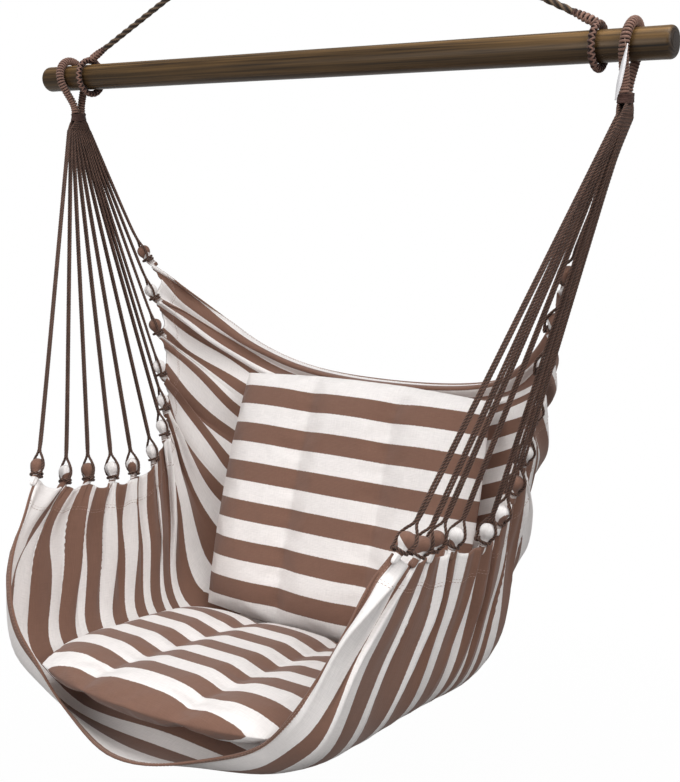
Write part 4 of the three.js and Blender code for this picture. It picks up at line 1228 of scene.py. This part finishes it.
thread_points = [top_end + Vector(way) for way in
                 ((-0.0035, -0.0004, 0.006), (-0.0026, -0.001, 0.001), (-0.001, -0.0012, -0.006))]
loose = swept("loose_tag_thread", smooth_path(thread_points, 0.001)[0], 0.0003, THREAD)
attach(loose, "tag")
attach(ribbon, "tag")
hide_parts("care_tag")
print("ribbon:", count, "cells")

# %% [markdown]
# ## Studio
# The photograph has a white ground with no horizon. The floor is a pale plane well below the chair,
# so its shadow stays soft. Near the chair it keeps that shadow, and further out it turns to plain
# white for the camera, as the world does, so no edge shows. The light comes from wide, soft lamps.

# %% Floor and world
FLOOR_Z = -1.64
WHITE = (1, 1, 1, 1)


def seen_by(tree, first, *kinds):
    """1 for the kinds of ray that should meet plain white, and 0 for the rest."""
    rays = add(tree, "ShaderNodeLightPath").outputs
    seen = rays[first]
    for kind in kinds:
        seen = calc(tree, "ADD", seen, rays[kind], clamp=True)
    return seen


floor_paint, tree, place = start_material("pale_studio_floor")
seen = seen_by(tree, "Is Camera Ray", "Is Glossy Ray", "Is Transmission Ray")
flat_place = add(tree, "ShaderNodeMapping", {"Vector": place, "Scale": (1.0, 1.0, 0.0)})
far = add(tree, "ShaderNodeVectorMath", {0: flat_place.outputs[0]}, operation="LENGTH")
fade = remap(tree, far.outputs["Value"], 0.5, 1.5, 0.985, 1.0)
matte = add(tree, "ShaderNodeBsdfDiffuse", {"Color": linear("#615f5e")})
glow = add(tree, "ShaderNodeEmission", {"Color": WHITE, "Strength": 1.0})
both = add(tree, "ShaderNodeMixShader", {
    0: calc(tree, "MULTIPLY", seen, fade), 1: matte.outputs[0], 2: glow.outputs[0]})
add(tree, "ShaderNodeOutputMaterial", {"Surface": both.outputs[0]})
bpy.ops.mesh.primitive_grid_add(x_subdivisions=4, y_subdivisions=4, size=14, location=(0, 0, 0))
floor = bpy.context.object
floor.name = "studio_floor"
floor.data.transform(Matrix.Translation((0, 0, FLOOR_Z)))
floor.data.materials.append(floor_paint)

world = bpy.data.worlds.new("studio_world")
bpy.context.scene.world = world
world.use_nodes = True
tree = world.node_tree
tree.nodes.clear()
room = add(tree, "ShaderNodeBackground", {"Color": linear("#f4f4f6"), "Strength": 0.46})
white = add(tree, "ShaderNodeBackground", {"Color": WHITE, "Strength": 1.0})
both = add(tree, "ShaderNodeMixShader", {
    0: seen_by(tree, "Is Camera Ray", "Is Transmission Ray"), 1: room.outputs[0], 2: white.outputs[0]})
add(tree, "ShaderNodeOutputWorld", {"Surface": both.outputs[0]})
print("floor at", FLOOR_Z, "m")

# %% Lamps and view settings
def soft_lamp(name, place, target, size, watts):
    data = bpy.data.lights.new(name, "AREA")
    data.shape, data.size, data.energy = "DISK", size, watts
    lamp = bpy.data.objects.new(name, data)
    lamp.location = place
    lamp.rotation_euler = (Vector(target) - Vector(place)).to_track_quat("-Z", "Y").to_euler()
    bpy.context.scene.collection.objects.link(lamp)
    return lamp


soft_lamp("key_lamp", (-0.5, -2.5, 0.1), (0, 0, -0.75), 1.4, 26)
soft_lamp("fill_lamp", (2.2, -1.0, 0.6), (-0.1, 0, -0.75), 1.6, 31)
soft_lamp("top_lamp", (0.6, -0.4, 1.8), (-0.1, 0, -0.75), 1.5, 35)
bpy.context.scene.view_settings.view_transform = "Standard"
print("three lamps")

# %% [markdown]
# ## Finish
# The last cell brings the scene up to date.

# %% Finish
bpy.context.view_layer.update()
